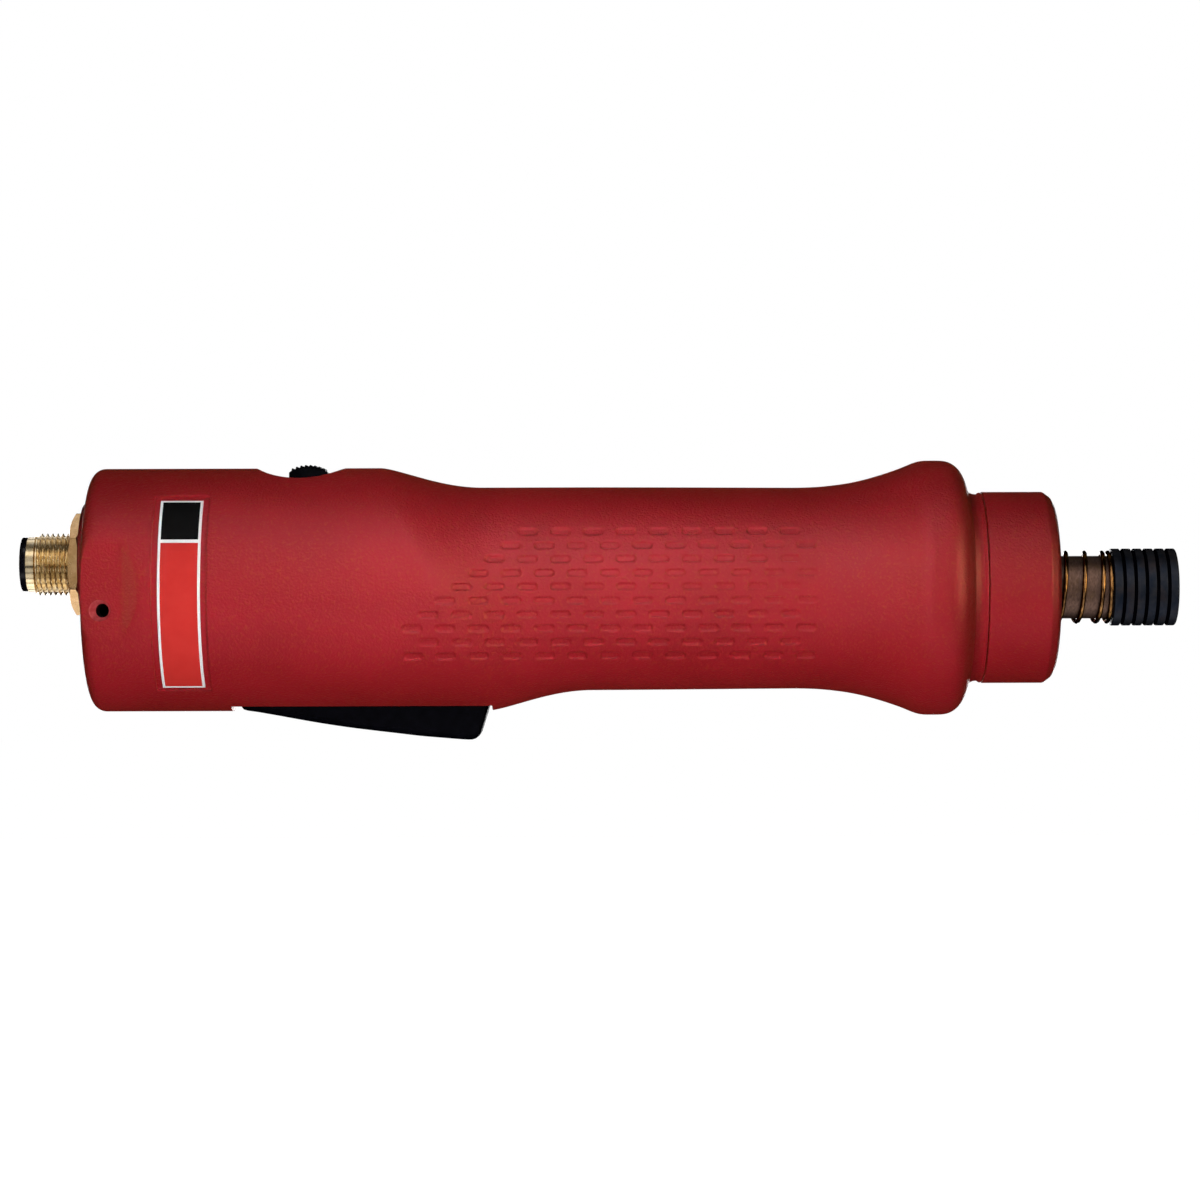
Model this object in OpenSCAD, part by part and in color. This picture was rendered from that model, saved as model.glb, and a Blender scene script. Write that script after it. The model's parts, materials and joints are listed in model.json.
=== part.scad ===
// Electric torque screwdriver: lever-started grip body with a planetary gear
// motor, a mechanical torque clutch and a quick-change chuck for 1/4 inch hex bits.
// +X runs along the spindle out of the chuck, +Z is up (the reversing slide),
// the start lever is below. Origin: centre of the bit socket's mouth.

/* [Grip body] */
// Radius of the rear half of the body
body_r = 23.3; // [22.5:0.1:24]
// Radius of the slim neck
neck_r = 19.5; // [19:0.1:20]
// Radius of the clutch bulge
bulge_r = 24.4; // [23.6:0.1:25]
// Radius of the nose cap
nose_r = 18.35; // [17.8:0.05:18.8]
// Where the upper side starts to slim down to the neck
step_x = -152.3; // [-154:0.1:-150]
// How much further forward the lower side does so
step_lean = 20.8; // [16:0.1:22]
// Radius of the blind holes for the hanging bail
bail_r = 1.5; // [1.3:0.05:1.6]

/* [Chuck] */
// Hex socket across flats
hex_af = 6.45; // [6.4:0.01:6.55]
// Depth of the hex socket
hex_depth = 16; // [14:0.5:18]
// Radius of the spindle
spindle_r = 6; // [5.8:0.05:6]
// Radius of the chuck sleeve
sleeve_r = 7.4; // [7.2:0.05:7.8]
// Length of the chuck sleeve
sleeve_len = 12.3; // [11.8:0.1:12.4]
// Number of rings cut round the sleeve
sleeve_grooves = 5; // [3:1:6]

/* [Start lever] */
// Half the width of the lever
lever_half = 6.6; // [6:0.1:6.6]

/* [Gear train] */
// Gear module
gear_m = 0.5; // [0.5]
// Teeth on the motor pinion and on the first carrier's pinion
sun_teeth = 12; // [12]
// Teeth on each planet gear
planet_teeth = 18; // [18]
// Backlash of one gear
backlash = 0.05; // [0.04:0.01:0.07]

/* [Connector] */
// Major radius of the connector thread
thread_r = 5.94; // [5.9:0.01:5.97]
// Across flats of the connector nut
nut_af = 17; // [16:0.5:17]
// Height of the connector above the spindle axis
conn_z = 5; // [4:0.5:5]

/* [Hidden] */
$fn = 64;
E = 0.01;
half_slot = 6.85;
rear_x = -207.5;
seam_x = -37.4;
ring_teeth = sun_teeth + 2 * planet_teeth;
mesh_d = gear_m * (sun_teeth + planet_teeth) / 2;
PA = 25;
pivot = [-177, -19.3];
bail_at = [-203.3, -3.85];

red = [0.58, 0.13, 0.16];
black = [0.05, 0.05, 0.06];
steel = [0.62, 0.61, 0.6];
dark_steel = [0.2, 0.21, 0.24];
brass = [0.76, 0.6, 0.3];
bronze = [0.5, 0.38, 0.24];
copper = [0.72, 0.4, 0.22];
green = [0.1, 0.4, 0.2];
white = [0.85, 0.85, 0.83];

// ---- helpers: everything that turns does so about a line along X ----
module xcyl(x0, x1, r, y = 0, z = 0)
    translate([x0, y, z]) rotate([0, 90, 0]) cylinder(h = x1 - x0, r = r);
module xcone(x0, x1, r0, r1, y = 0, z = 0)
    translate([x0, y, z]) rotate([0, 90, 0]) cylinder(h = x1 - x0, r1 = r0, r2 = r1);
module ring(x0, x1, r_out, r_in)
    difference() { xcyl(x0, x1, r_out); xcyl(x0 - 1, x1 + 1, r_in); }
// profile: list of [x, r]; closed down to the axis
module turned(profile)
    rotate([0, 90, 0]) rotate_extrude($fn = 96)
        polygon(concat([[0, profile[0][0]]], [for (p = profile) [p[1], p[0]]],
                       [[0, profile[len(profile) - 1][0]]]));
module box(a, b) translate(a) cube(b - a);
module ycyl(y0, y1, r, x, z)
    translate([x, y1, z]) rotate([90, 0, 0]) cylinder(h = y1 - y0, r = r);

// ---- body outline ----
function s3(t) = t <= 0 ? 0 : t >= 1 ? 1 : t * t * (3 - 2 * t);
function step_start(a) = step_x + step_lean * (1 - cos(a)) / 2;   // a from the top
function step_r(x, a) = let (t = (x - step_start(a)) / 19.5)
    body_r - (body_r - neck_r) * (t <= 0 ? 0 : s3(pow(t, 0.75)));

// The lean between the wide rear and the neck, as one closed skin
module lean_skin() {
    n = 60; xs = [for (i = [0 : 20]) -153.5 + i * 2.1];
    m = len(xs);
    pts = concat([for (i = [0 : m - 1]) for (k = [0 : n - 1]) let (a = k * 360 / n,
        r = step_r(xs[i], a) - (i == 0 ? 0.05 : i == m - 1 ? 0.05 : 0))
        [xs[i], -r * sin(a), r * cos(a)]], [[xs[0], 0, 0], [xs[m - 1], 0, 0]]);
    faces = concat(
        [for (i = [0 : m - 2]) for (k = [0 : n - 1])
            [i * n + k, (i + 1) * n + k, (i + 1) * n + (k + 1) % n]],
        [for (i = [0 : m - 2]) for (k = [0 : n - 1])
            [i * n + k, (i + 1) * n + (k + 1) % n, i * n + (k + 1) % n]],
        [for (k = [0 : n - 1]) [m * n, k, (k + 1) % n]],
        [for (k = [0 : n - 1]) [m * n + 1, (m - 1) * n + (k + 1) % n, (m - 1) * n + k]]);
    polyhedron(points = pts, faces = faces);
}

module front_skin()
    turned([[-113, neck_r], [-72.7, neck_r - 0.2], [-68, neck_r], [-65, neck_r + 0.35],
        [-61.2, neck_r + 0.95], [-58.8, bulge_r - 3.4], [-56.5, bulge_r - 2.75], [-54.2, bulge_r - 1.95],
        [-51.5, bulge_r - 0.9], [-50, bulge_r - 0.3], [-48.7, bulge_r], [-45.8, bulge_r + 0.05],
        [-44.4, bulge_r - 0.05], [-43, bulge_r - 0.45], [-42, bulge_r - 1.2], [-41.2, bulge_r - 2.2],
        [-40.6, bulge_r - 3.4], [-40, 18.95], [-39.4, 18.4], [-38.5, 17.95], [-37.7, 18.25], [seam_x, 18.3]]);

module rear_skin() {
    turned([[rear_x, body_r - 2.2], [rear_x + 0.3, body_r - 1.1], [rear_x + 1.1, body_r - 0.3],
        [rear_x + 2.2, body_r], [step_x, body_r]]);
    xcyl(-209.4, -206, 11.9, 0, conn_z);
}

// Flat for the hanging bail on one side, with its run-out
module bail_flat(side)
    translate([0, 0, -15]) linear_extrude(30)
        polygon([[-212, side * 21.5], [-199.6, side * 21.5], [-196.2, side * 23.35],
                 [-196.2, side * 26], [-212, side * 26]]);

module cavity() {
    difference() {
        turned([[-205, 18.3], [-195.5, 18.3], [-195, 20.8], [-153, 20.8], [-140, 17], [-135, 17]]);
        box([-178, -12, 19.2], [-157, 12, 22]);              // thick roof under the slide
        box([-146.8, -20, -9], [-137, 20, -7.4]);            // bridge over the lever spring
        for (p = [[-199.5, 14.5], [-199.5, -13.5], [-146, 14.6]])
            ycyl(-20, 20, 3.4, p[0], p[1]);                  // screw bosses
        for (s = [1, -1])                                    // blind bosses for the bail's ends
            ycyl(s > 0 ? 13.8 : -20, s > 0 ? 20 : -13.8, 3.2, bail_at[0], bail_at[1]);
        difference() { ycyl(-16, 16, 3, pivot[0], pivot[1]); box([-181, -half_slot, -25], [-170, half_slot, -10]); }
    }
    xcyl(-136, -62.9, 16.6);                                 // motor and gear bay
    turned([[-63, 17], [-60, 17], [-56.5, 20], [-46, 20], [-43, 17], [-37.6, 17]]);
    xcyl(-38, -35.6, 10.5);
    xcyl(-35.6, -29, 12.02);                                 // bearing seat
}

module housing_solid() {
    difference() {
        union() {
            rear_skin(); lean_skin(); front_skin();
            xcyl(-38, -29.6, 15.5);                          // threaded spigot for the nose cap
        }
        cavity();
        bail_flat(1); bail_flat(-1);
        for (s = [1, -1]) {
            ycyl(s > 0 ? 14.5 : -23, s > 0 ? 23 : -14.5, bail_r, bail_at[0], bail_at[1]);
            translate([bail_at[0], s * 21.2, bail_at[1]]) rotate([-90 * s, 0, 0])
                cylinder(h = 0.8, r1 = bail_r, r2 = bail_r + 0.8);
        }
        xcyl(-211, -204, 6, 0, conn_z);                      // connector hole
        // scoop and opening of the reversing slide
        ycyl(-14, 14, 18.66, -167.6, 39.86, $fn = 128);
        box([-172.9, -4.3, 18], [-162.3, 4.3, 25]);
        // lever slot
        box([-180.8, -half_slot, -26], [-134.5, half_slot, -12]);
        box([-135, -half_slot, -26], [-131, half_slot, -17.2]);
        ycyl(-11.02, 11.02, 1.25, pivot[0], pivot[1]);
        // label recess
        rotate([0, 90, 0]) rotate([0, 0, 220.6]) rotate_extrude(angle = 104.3)
            polygon([[body_r - 0.6, -194], [body_r + 1, -194], [body_r + 1, -183.7], [body_r - 0.6, -183.7]]);
        // screw holes from the right side
        for (p = [[-199.5, 14.5, 9.2, -9.5], [-199.5, -13.5, 9.2, -9.5], [-146, 14.6, 8, -8.5], [-127, -18.4, 6.5, -8.5]]) {
            ycyl(p[3], p[2] + E, 1.55, p[0], p[1]);
            ycyl(p[2], 24, 2.9, p[0], p[1]);
        }
    }
}
module housing_left() color(red)
    intersection() { housing_solid(); box([-215, -30, -35], [-20, 0, 35]); }
module housing_right() color(red)
    intersection() { housing_solid(); box([-215, 0, -35], [-20, 30, 35]); }

module housing_screws() color(steel)
    for (p = [[-199.5, 14.5, 9.2, -9], [-199.5, -13.5, 9.2, -9], [-146, 14.6, 8, -8], [-127, -18.4, 6.5, -8]])
        difference() {
            union() {
                ycyl(p[3], p[2] + 0.5, 1.5, p[0], p[1]);
                ycyl(p[2], p[2] + 2.2, 2.75, p[0], p[1]);
            }
            translate([p[0], p[2] + 3, p[1]]) rotate([90, 0, 0]) cylinder(h = 2, r = 1.4, $fn = 6);
        }

module nose_cap() color(red) difference() {
    turned([[-37.2, nose_r - 0.15], [-37, nose_r], [-25.4, nose_r], [-24.3, nose_r - 0.9], [-23.55, nose_r - 1.7], [-23.5, nose_r - 1.9]]);
    xcyl(-38, -29.4, 15.55);
    xcyl(-30, -25.5, 11);
    xcyl(-26, -23, 9);
    xcone(-24.2, -23.4, 9, 9.8);
}

module label_plate() color([0.85, 0.25, 0.22])
    rotate([0, 90, 0]) rotate([0, 0, 223.3]) rotate_extrude(angle = 100.1)
        polygon([[body_r - 0.6, -192.85], [body_r - 0.3, -192.85], [body_r - 0.3, -184.85], [body_r - 0.6, -184.85]]);

// ---- connector ----
module connector_shell() color(brass) translate([0, 0, conn_z]) difference() {
    union() {
        xcyl(-218.2, -211.7, thread_r);
        xcyl(-212, -203, thread_r - 0.24);
        xcone(-218.5, -218.2, thread_r - 0.3, thread_r);
        xcyl(-220.2, -218, 5.25);
        xcyl(-204.2, -202.7, 8);
    }
    xcyl(-221, -201, 4.7);
}
module connector_nut() color(brass) translate([0, 0, conn_z]) difference() {
    intersection() {
        translate([-211.6, 0, 0]) rotate([0, 90, 0]) cylinder(h = 2.2, r = nut_af / sqrt(3), $fn = 6);
        union() {
            xcyl(-211.1, -209.9, nut_af / sqrt(3) + 0.1);
            xcone(-211.6, -211.1, nut_af / 2 + 0.3, nut_af / sqrt(3) + 0.1);
            xcone(-209.9, -209.4, nut_af / sqrt(3) + 0.1, nut_af / 2 + 0.3);
        }
    }
    xcyl(-213, -208, thread_r - 0.22);
}
module connector_insert() color(black) translate([0, 0, conn_z]) difference() {
    union() {
        xcyl(-221.3, -220.2, 5.17);
        xcyl(-221, -202, 4.68);
    }
    xcyl(-222, -213, 4.2);
    for (a = [45 : 90 : 315]) xcyl(-215, -200, 0.5, 2.5 * cos(a), 2.5 * sin(a));
    xcyl(-215, -200, 0.5);
}
module connector_pins() color([0.8, 0.65, 0.3]) translate([0, 0, conn_z]) {
    for (a = [45 : 90 : 315]) pin5(2.5 * cos(a), 2.5 * sin(a));
    pin5(0, 0);
}
module pin5(y, z) {
    xcyl(-219.3, -200.5, 0.49, y, z);
    xcone(-219.7, -219.3, 0.25, 0.49, y, z);
}
module connector_seal() color(black) translate([0, 0, conn_z]) ring(-204.98, -204.22, 7.6, 6.02);

// ---- wires: eight-sided tubes swept along short hand-laid routes ----
function unit(v) = v / norm(v);
function dirs(p) = [for (i = [0 : len(p) - 1]) unit(p[min(i + 1, len(p) - 1)] - p[max(i - 1, 0)])];
module tube(p, r, n = 8) {
    d = dirs(p); m = len(p);
    pts = [for (i = [0 : m - 1]) let (up = abs(d[i][1]) > 0.95 ? [1, 0, 0] : [0, 1, 0], u = unit(cross(d[i], up)), v = cross(d[i], u))
        for (k = [0 : n - 1]) p[i] + r * (cos(k * 360 / n) * u + sin(k * 360 / n) * v)];
    polyhedron(points = pts, faces = concat(
        [for (i = [0 : m - 2]) for (k = [0 : n - 1]) [i * n + k, i * n + (k + 1) % n, (i + 1) * n + (k + 1) % n]],
        [for (i = [0 : m - 2]) for (k = [0 : n - 1]) [i * n + k, (i + 1) * n + (k + 1) % n, (i + 1) * n + k]],
        [[for (k = [n - 1 : -1 : 0]) k]], [[for (k = [0 : n - 1]) (m - 1) * n + k]]));
}
module power_wires() color([0.7, 0.2, 0.15]) {
    for (i = [0 : 4]) let (a = 45 + 90 * i, y0 = i == 4 ? 0 : 2.5 * cos(a), z0 = conn_z + (i == 4 ? 0 : 2.5 * sin(a)), y1 = -6 + 3 * (i == 0 ? 4 : i == 3 ? 3 : i == 4 ? 2 : i == 2 ? 1 : 0))
        tube([[-200.4, y0, z0], [-199, y0 * 1.2, z0 + (z0 - 5) * 0.2], [-196.5, (y0 + y1) / 2 + y0 * 0.2, 10.6], [-193.5, y1, 11.4], [-191.2, y1, 10.6], [-190.2, y1, 9.6], [-190.1, y1, 9], [-190.1, y1, 8.62]], 0.45, 6);
}
module motor_leads() color([0.2, 0.25, 0.6]) {
    for (i = [-1 : 1])
        tube([[-143, 3 * i, 8.62], [-143, 3 * i, 9.1], [-142.6, 3 * i, 9.8], [-141, 3 * i, 10.9], [-138.5, 3 * i, 11.4], [-136.5, 3 * i, 11.7], [-134.5, 3 * i, 12], [-132.02, 3 * i, 12]], 0.6, 6);
}

// ---- electronics ----
module control_board() color(green) difference() {
    union() { box([-195, -17, 7], [-153, 17, 8.6]); box([-153, -14, 7], [-141, 14, 8.6]); }
    for (p = [[-192, 14.5], [-192, -14.5], [-156, 14.5], [-156, -14.5]]) translate([p[0], p[1], 6]) cylinder(h = 4, r = 1.3);
}
module board_components() color([0.15, 0.15, 0.17]) {
    for (i = [-1 : 1]) box([-152, 6 * i - 2.4, 8.6], [-147, 6 * i + 2.4, 10.2]);      // power transistors
    for (y = [-11, 11]) translate([-184, y, 8.6]) cylinder(h = 6.2, r = 3.2);           // buffer capacitors
    box([-181, -3.5, 8.6], [-174, 3.5, 9.6]);                                         // controller chip
    for (y = [-12 : 3 : -6]) box([-171.5, y - 0.6, 8.6], [-170, y + 0.6, 9.3]);
    for (y = [6 : 3 : 12]) box([-171.5, y - 0.6, 8.6], [-170, y + 0.6, 9.3]);
    box([-193, -8, 5.4], [-186, 8, 7]);                                               // surge filter, under the board
}
module start_switch() color([0.12, 0.12, 0.13]) difference() {
    union() { box([-167, -3.2, -10.6], [-147, 3.2, -0.4]); for (x = [-165, -157, -149]) box([x - 0.5, -0.4, -0.4], [x + 0.5, 0.4, 7]); }
    translate([-160, 0, -11]) cylinder(h = 4.2, r = 1.3);
    for (x = [-163.5, -150.5]) ycyl(-4, 4, 1.1, x, -3);
}
module switch_plunger() color([0.7, 0.15, 0.12]) translate([-160, 0, 0]) {
    translate([0, 0, -12]) cylinder(h = 3.2, r = 1.2);
    translate([0, 0, -12]) rotate([180, 0, 0]) rotate_extrude() polygon([[0, -0.1], [1.2, -0.1], [1.2, 0], [0.9, 0.35], [0, 0.4]]);
}
module reverse_switch() color([0.12, 0.12, 0.13]) difference() {
    box([-172, -3.5, 8.6], [-160.8, 3.5, 13.6]);
    box([-170.4, -1.7, 12.4], [-164.8, 1.7, 14]);
}
module reverse_slider() color(white) box([-167.6, -1.5, 12.6], [-165.1, 1.5, 17]);
module clutch_sensor() color(green) box([-57.5, -4, 15.2], [-50.5, 4, 16.2]);

// ---- lever and slide ----
module lever() color(black) difference() {
    union() {
        translate([0, lever_half, 0]) rotate([90, 0, 0]) linear_extrude(2 * lever_half)
            polygon([[-179, -21.4], [-178.9, -22.3], [-178.5, -22.8], [-175.4, -23.4], [-172.3, -23.95], [-167.7, -24.8],
                [-163.1, -25.6], [-158.5, -26.3], [-153.8, -26.9], [-149.2, -27.45], [-144.6, -28], [-140, -28.4],
                [-135.6, -28.75], [-134.4, -28.55], [-133.5, -28], [-133.1, -27.3], [-131.6, -22.4], [-131.6, -21.9],
                [-134, -21.8], [-160, -19.6], [-174, -17.6], [-175.5, -17.1], [-178, -17.1], [-179, -18.5]]);
        box([-161.8, -3, -20], [-158.5, 3, -12.65]);
    }
    ycyl(-8, 8, 1.3, pivot[0], pivot[1]);
    translate([-143, 0, -23]) cylinder(h = 6, r = 3.4);
}
module lever_pin() color(steel) ycyl(-10.98, 10.98, 1.24, pivot[0], pivot[1]);
module reverse_knob() color(black) {
    intersection() {
        box([-170, -4, 18], [-162.7, 4, 25]);
        union() {
            ycyl(-4, 4, 7.1, -166.35, 16.53);
            for (i = [0 : 7]) let (a = (i - 3.5) * 7.0)
                translate([-166.35, 0, 16.53]) rotate([0, a, 0]) translate([0, 0, 7.05]) rotate([90, 0, 0]) cylinder(h = 8, r = 0.28, center = true);
        }
    }
    box([-174.2, -6, 17.9], [-159.4, 6, 18.9]);
    for (x = [-169, -164.9]) box([x, -1.5, 15], [x + 1.2, 1.5, 18]);
}

// ---- coil springs ----
module coil(axis_pt, dir, len, r, w, turns, hand = 1, seg = 16, n = 6, closed = 0.8) {
    // dead turns at both ends, even pitch between them
    total = turns * seg; dead = closed * seg;
    function along(i) = let (p0 = w, span = len - 2 * w * (closed) - w, k = (i - dead) / (total - 2 * dead))
        w / 2 + (i < dead ? p0 * i / seg : i > total - dead ? p0 * closed + span + p0 * (i - total + dead) / seg : p0 * closed + span * k);
    path = [for (i = [0 : total]) let (a = hand * i * 360 / seg)
        dir == "x" ? axis_pt + [along(i), r * sin(a), r * cos(a)] : axis_pt + [r * cos(a), r * sin(a), along(i)]];
    d = dirs(path); m = len(path);
    pts = [for (i = [0 : m - 1]) let (a = hand * i * 360 / seg,
        u = dir == "x" ? [0, sin(a), cos(a)] : [cos(a), sin(a), 0], v = unit(cross(d[i], u)))
        for (k = [0 : n - 1]) path[i] + w / 2 * (cos(k * 360 / n) * u + sin(k * 360 / n) * v)];
    polyhedron(points = pts, faces = concat(
        [for (i = [0 : m - 2]) for (k = [0 : n - 1]) [i * n + k, (i + 1) * n + (k + 1) % n, i * n + (k + 1) % n]],
        [for (i = [0 : m - 2]) for (k = [0 : n - 1]) [i * n + k, (i + 1) * n + k, (i + 1) * n + (k + 1) % n]],
        [[for (k = [0 : n - 1]) k]], [[for (k = [n - 1 : -1 : 0]) (m - 1) * n + k]]));
}
module lever_spring() color(steel) coil([-143, 0, -23], "z", 14, 2.7, 0.5, 8);
module chuck_spring() color(bronze) coil([-27.25, 0, 0], "x", 14.9, 6.62, 0.86, 6, -1, 20);
module torque_spring() color(steel) coil([-53.88, 0, 0], "x", 10.8, 8.9, 1.7, 4.5, 1, 20);

// ---- motor ----
module motor_case() color(steel) difference() {
    xcyl(-129, -88, 16.5);
    xcyl(-130, -90, 15.35);
    xcyl(-91, -88 + 1, 5.52);
}
module motor_end_cap() color([0.3, 0.3, 0.32]) difference() {
    union() { xcyl(-132, -129, 16.5); xcyl(-129, -127.6, 7.5); }
    xcyl(-131, -127, 5.52);
    xcyl(-133, -126, 3.2);
}
module stator_core() color(dark_steel) translate([-120, 0, 0]) rotate([0, 90, 0]) linear_extrude(23) difference() {
    union() {
        difference() { circle(15.3); circle(13); }
        for (i = [0 : 5]) rotate(i * 60) { translate([9, -2.1]) square([5, 4.2]); translate([8.2, -3]) square([1.1, 6]); }
    }
    circle(8.7);
}
module stator_windings() color(copper) for (i = [0 : 5]) rotate([30 * 0 + i * 60, 0, 0]) translate([-108.5, 0, 11.1]) difference() {
    translate([-15, -3.6, -1.6]) cube([30, 7.2, 2.9]);
    translate([-11.55, -2.15, -2]) cube([23.1, 4.3, 4]);
}
module hall_board() color(green) ring(-126.4, -125.4, 14.6, 4.2);
module bearing(x0, w, r_out, r_in) color(steel) difference() {
    ring(x0, x0 + w, r_out, r_in);
    for (x = [x0 - 1, x0 + w - 0.35]) ring(x, x + 1.35, r_in + (r_out - r_in) * 0.72, r_in + (r_out - r_in) * 0.28);
}
module motor_rear_bearing() bearing(-130.98, 3.3, 5.5, 2.52);
module motor_front_bearing() bearing(-91, 3, 5.5, 2.52);
module rotor_shaft() color(steel) { xcyl(-131, -87, 2.48); xcyl(-87.5, -82.1, 1.5); }
module rotor_magnet() color([0.25, 0.25, 0.27]) ring(-120, -97, 8, 2.48);

// ---- gears ----
function inv(t) = t - atan(t) * PI / 180;
function half_angle(z, r, bl) = let (rp = gear_m * z / 2, rb = rp * cos(PA), rr = max(r, rb),
    hp = (PI * gear_m / 2 - bl) / 2 / rp, t = sqrt(rr * rr / rb / rb - 1), tp = tan(PA))
    (hp + inv(tp) - inv(t)) * 180 / PI;
function polar(r, a) = [r * cos(a), r * sin(a)];
// outline with tooth 0 on the first axis; rt tip radius, rr root radius
function gear_outline(z, rt, rr, bl) = let (n = 4, rb = gear_m * z / 2 * cos(PA), r0 = max(rr, rb))
    [for (k = [0 : z - 1]) let (c = k * 360 / z) each concat(
        [polar(rr, c - half_angle(z, r0, bl))],
        [for (j = [0 : n]) let (r = r0 + (rt - r0) * j / n) if (r > rr + 0.001) polar(r, c - half_angle(z, r, bl))],
        [for (j = [n : -1 : 0]) let (r = r0 + (rt - r0) * j / n) if (r > rr + 0.001) polar(r, c + half_angle(z, r, bl))],
        [polar(rr, c + half_angle(z, r0, bl))])];
// tooth 0 points up (+Z) when turn is 0
module gear_solid(x0, x1, z, turn = 0)
    translate([x0, 0, 0]) rotate([turn, 0, 0]) rotate([0, 90, 0]) rotate([0, 0, 180]) linear_extrude(x1 - x0)
        polygon(gear_outline(z, gear_m * z / 2 + 0.4, gear_m * z / 2 - 0.55, backlash));
module planet(x0, x1, a) color([0.8, 0.78, 0.7]) rotate([a, 0, 0]) translate([0, 0, mesh_d]) difference() {
    gear_solid(x0, x1, planet_teeth, 180 / planet_teeth);
    xcyl(x0 - 1, x1 + 1, 1.3);
}
module motor_pinion() color(steel) difference() { gear_solid(-86.8, -82.1, sun_teeth); xcyl(-88, -81, 1.5); }
module first_planet_a() planet(-86, -82.15, 0);
module first_planet_b() planet(-86, -82.15, 120);
module first_planet_c() planet(-86, -82.15, 240);
module second_planet_a() planet(-79, -74, 0);
module second_planet_b() planet(-79, -74, 120);
module second_planet_c() planet(-79, -74, 240);
module pins3(x0, x1) color(steel) for (a = [0, 120, 240]) rotate([a, 0, 0]) xcyl(x0, x1, 1.25, 0, mesh_d);
module first_planet_pins() pins3(-86.3, -79.85);
module second_planet_pins() pins3(-79.3, -71.05);
module first_carrier() color([0.7, 0.66, 0.55]) difference() {
    union() { xcyl(-81.8, -79.8, 10.8); gear_solid(-79.85, -73.9, sun_teeth); }
    for (a = [0, 120, 240]) rotate([a, 0, 0]) xcyl(-82, -79, 1.26, 0, mesh_d);
}
module output_carrier() color([0.7, 0.66, 0.55]) difference() {
    union() { xcyl(-73.5, -71, 10.8); xcyl(-71.1, -62.5, 7); xcyl(-62.6, -59.5, 5); }
    for (a = [0, 120, 240]) rotate([a, 0, 0]) xcyl(-74, -71, 1.26, 0, mesh_d);
    xcyl(-63, -59, 2.55);
}
module gear_case() color(steel) difference() {
    xcyl(-87.98, -63, 16.5);
    translate([-89, 0, 0]) rotate([0, 90, 0]) rotate([0, 0, 180]) linear_extrude(18)
        polygon([for (p = gear_outline(ring_teeth, gear_m * ring_teeth / 2 + 0.55, gear_m * ring_teeth / 2 - 0.4, -backlash)) let (c = cos(180 / ring_teeth), s = sin(180 / ring_teeth)) [p[0] * c - p[1] * s, p[0] * s + p[1] * c]]);
    xcyl(-71.2, -64.5, 13.02);
    xcyl(-65, -62, 11);
}
module output_bearing() bearing(-70.4, 5.9, 13, 7.06);
module spindle_bearing() bearing(-35.5, 6, 12, 6.06);

// ---- clutch ----
module ball_ring(x, r, rb, n = 6) for (i = [0 : n - 1]) rotate([i * 360 / n, 0, 0]) translate([x, 0, r]) sphere(r = rb);
module clutch_cam() color(dark_steel) difference() { ring(-62.45, -59, 11.5, 5.03); ball_ring(-58.2, 8.5, 1.65); }
module clutch_balls() color(steel) ball_ring(-58.2, 8.5, 1.6);
module clutch_cup() color(dark_steel) difference() {
    union() { xcyl(-57.4, -53.9, 11.5); xcyl(-54, -50.5, 7.6); }
    xcyl(-60, -50, 6.03);
    ball_ring(-58.2, 8.5, 1.65);
}
module spring_seat() color(steel) ring(-43.05, -41.5, 11.5, 6.06);
module adjusting_nut() color(brass) difference() {
    xcyl(-41.4, -38.9, 10.2);
    xcyl(-42, -38, 6.06);
    for (a = [0 : 60 : 300]) rotate([a, 0, 0]) box([-42, -1.2, 9], [-38, 1.2, 11]);
}

// ---- spindle and quick-change chuck ----
module spindle() color([0.45, 0.4, 0.37]) difference() {
    union() {
        xcyl(-62.2, -58, 2.5);
        xcyl(-58.5, -0.3, spindle_r);
        xcone(-0.3, 0, spindle_r, spindle_r - 0.3);
    }
    translate([-hex_depth, 0, 0]) rotate([0, 90, 0]) cylinder(h = hex_depth + 1, r = hex_af / sqrt(3), $fn = 6);
    xcone(-0.5, 0.01, 3.3, 3.9);
    for (s = [0, 180]) rotate([s, 0, 0]) translate([-6.5, hex_af / 2 - 1, 0]) rotate([-90, 0, 0]) cylinder(h = 5, r = 1.22);
    ring(-4.95, -4.05, 7, 5.5);
    ring(-27.35 - 1, -27.25, 7, 5.6);
}
module chuck_balls() color(steel) for (s = [1, -1]) translate([-6.5, s * 4.02, 0]) sphere(r = 1.19);
module sleeve_ring() color(steel) ring(-4.9, -4.1, 6.6, 5.52);
module spring_collar() color(dark_steel) ring(-28.3, -27.3, 8.2, 5.62);
module chuck_sleeve() color(dark_steel) difference() {
    union() { xcyl(-sleeve_len, -0.4, sleeve_r); xcone(-0.4, 0, sleeve_r, sleeve_r - 0.4); }
    xcyl(-14, -5, spindle_r + 0.06);
    xcyl(-5, 1, 6.75);
    for (i = [0 : sleeve_grooves - 1]) let (x = -10.65 + i * 2.12) ring(x, x + 0.5, 9, sleeve_r - 0.28);
}

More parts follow.
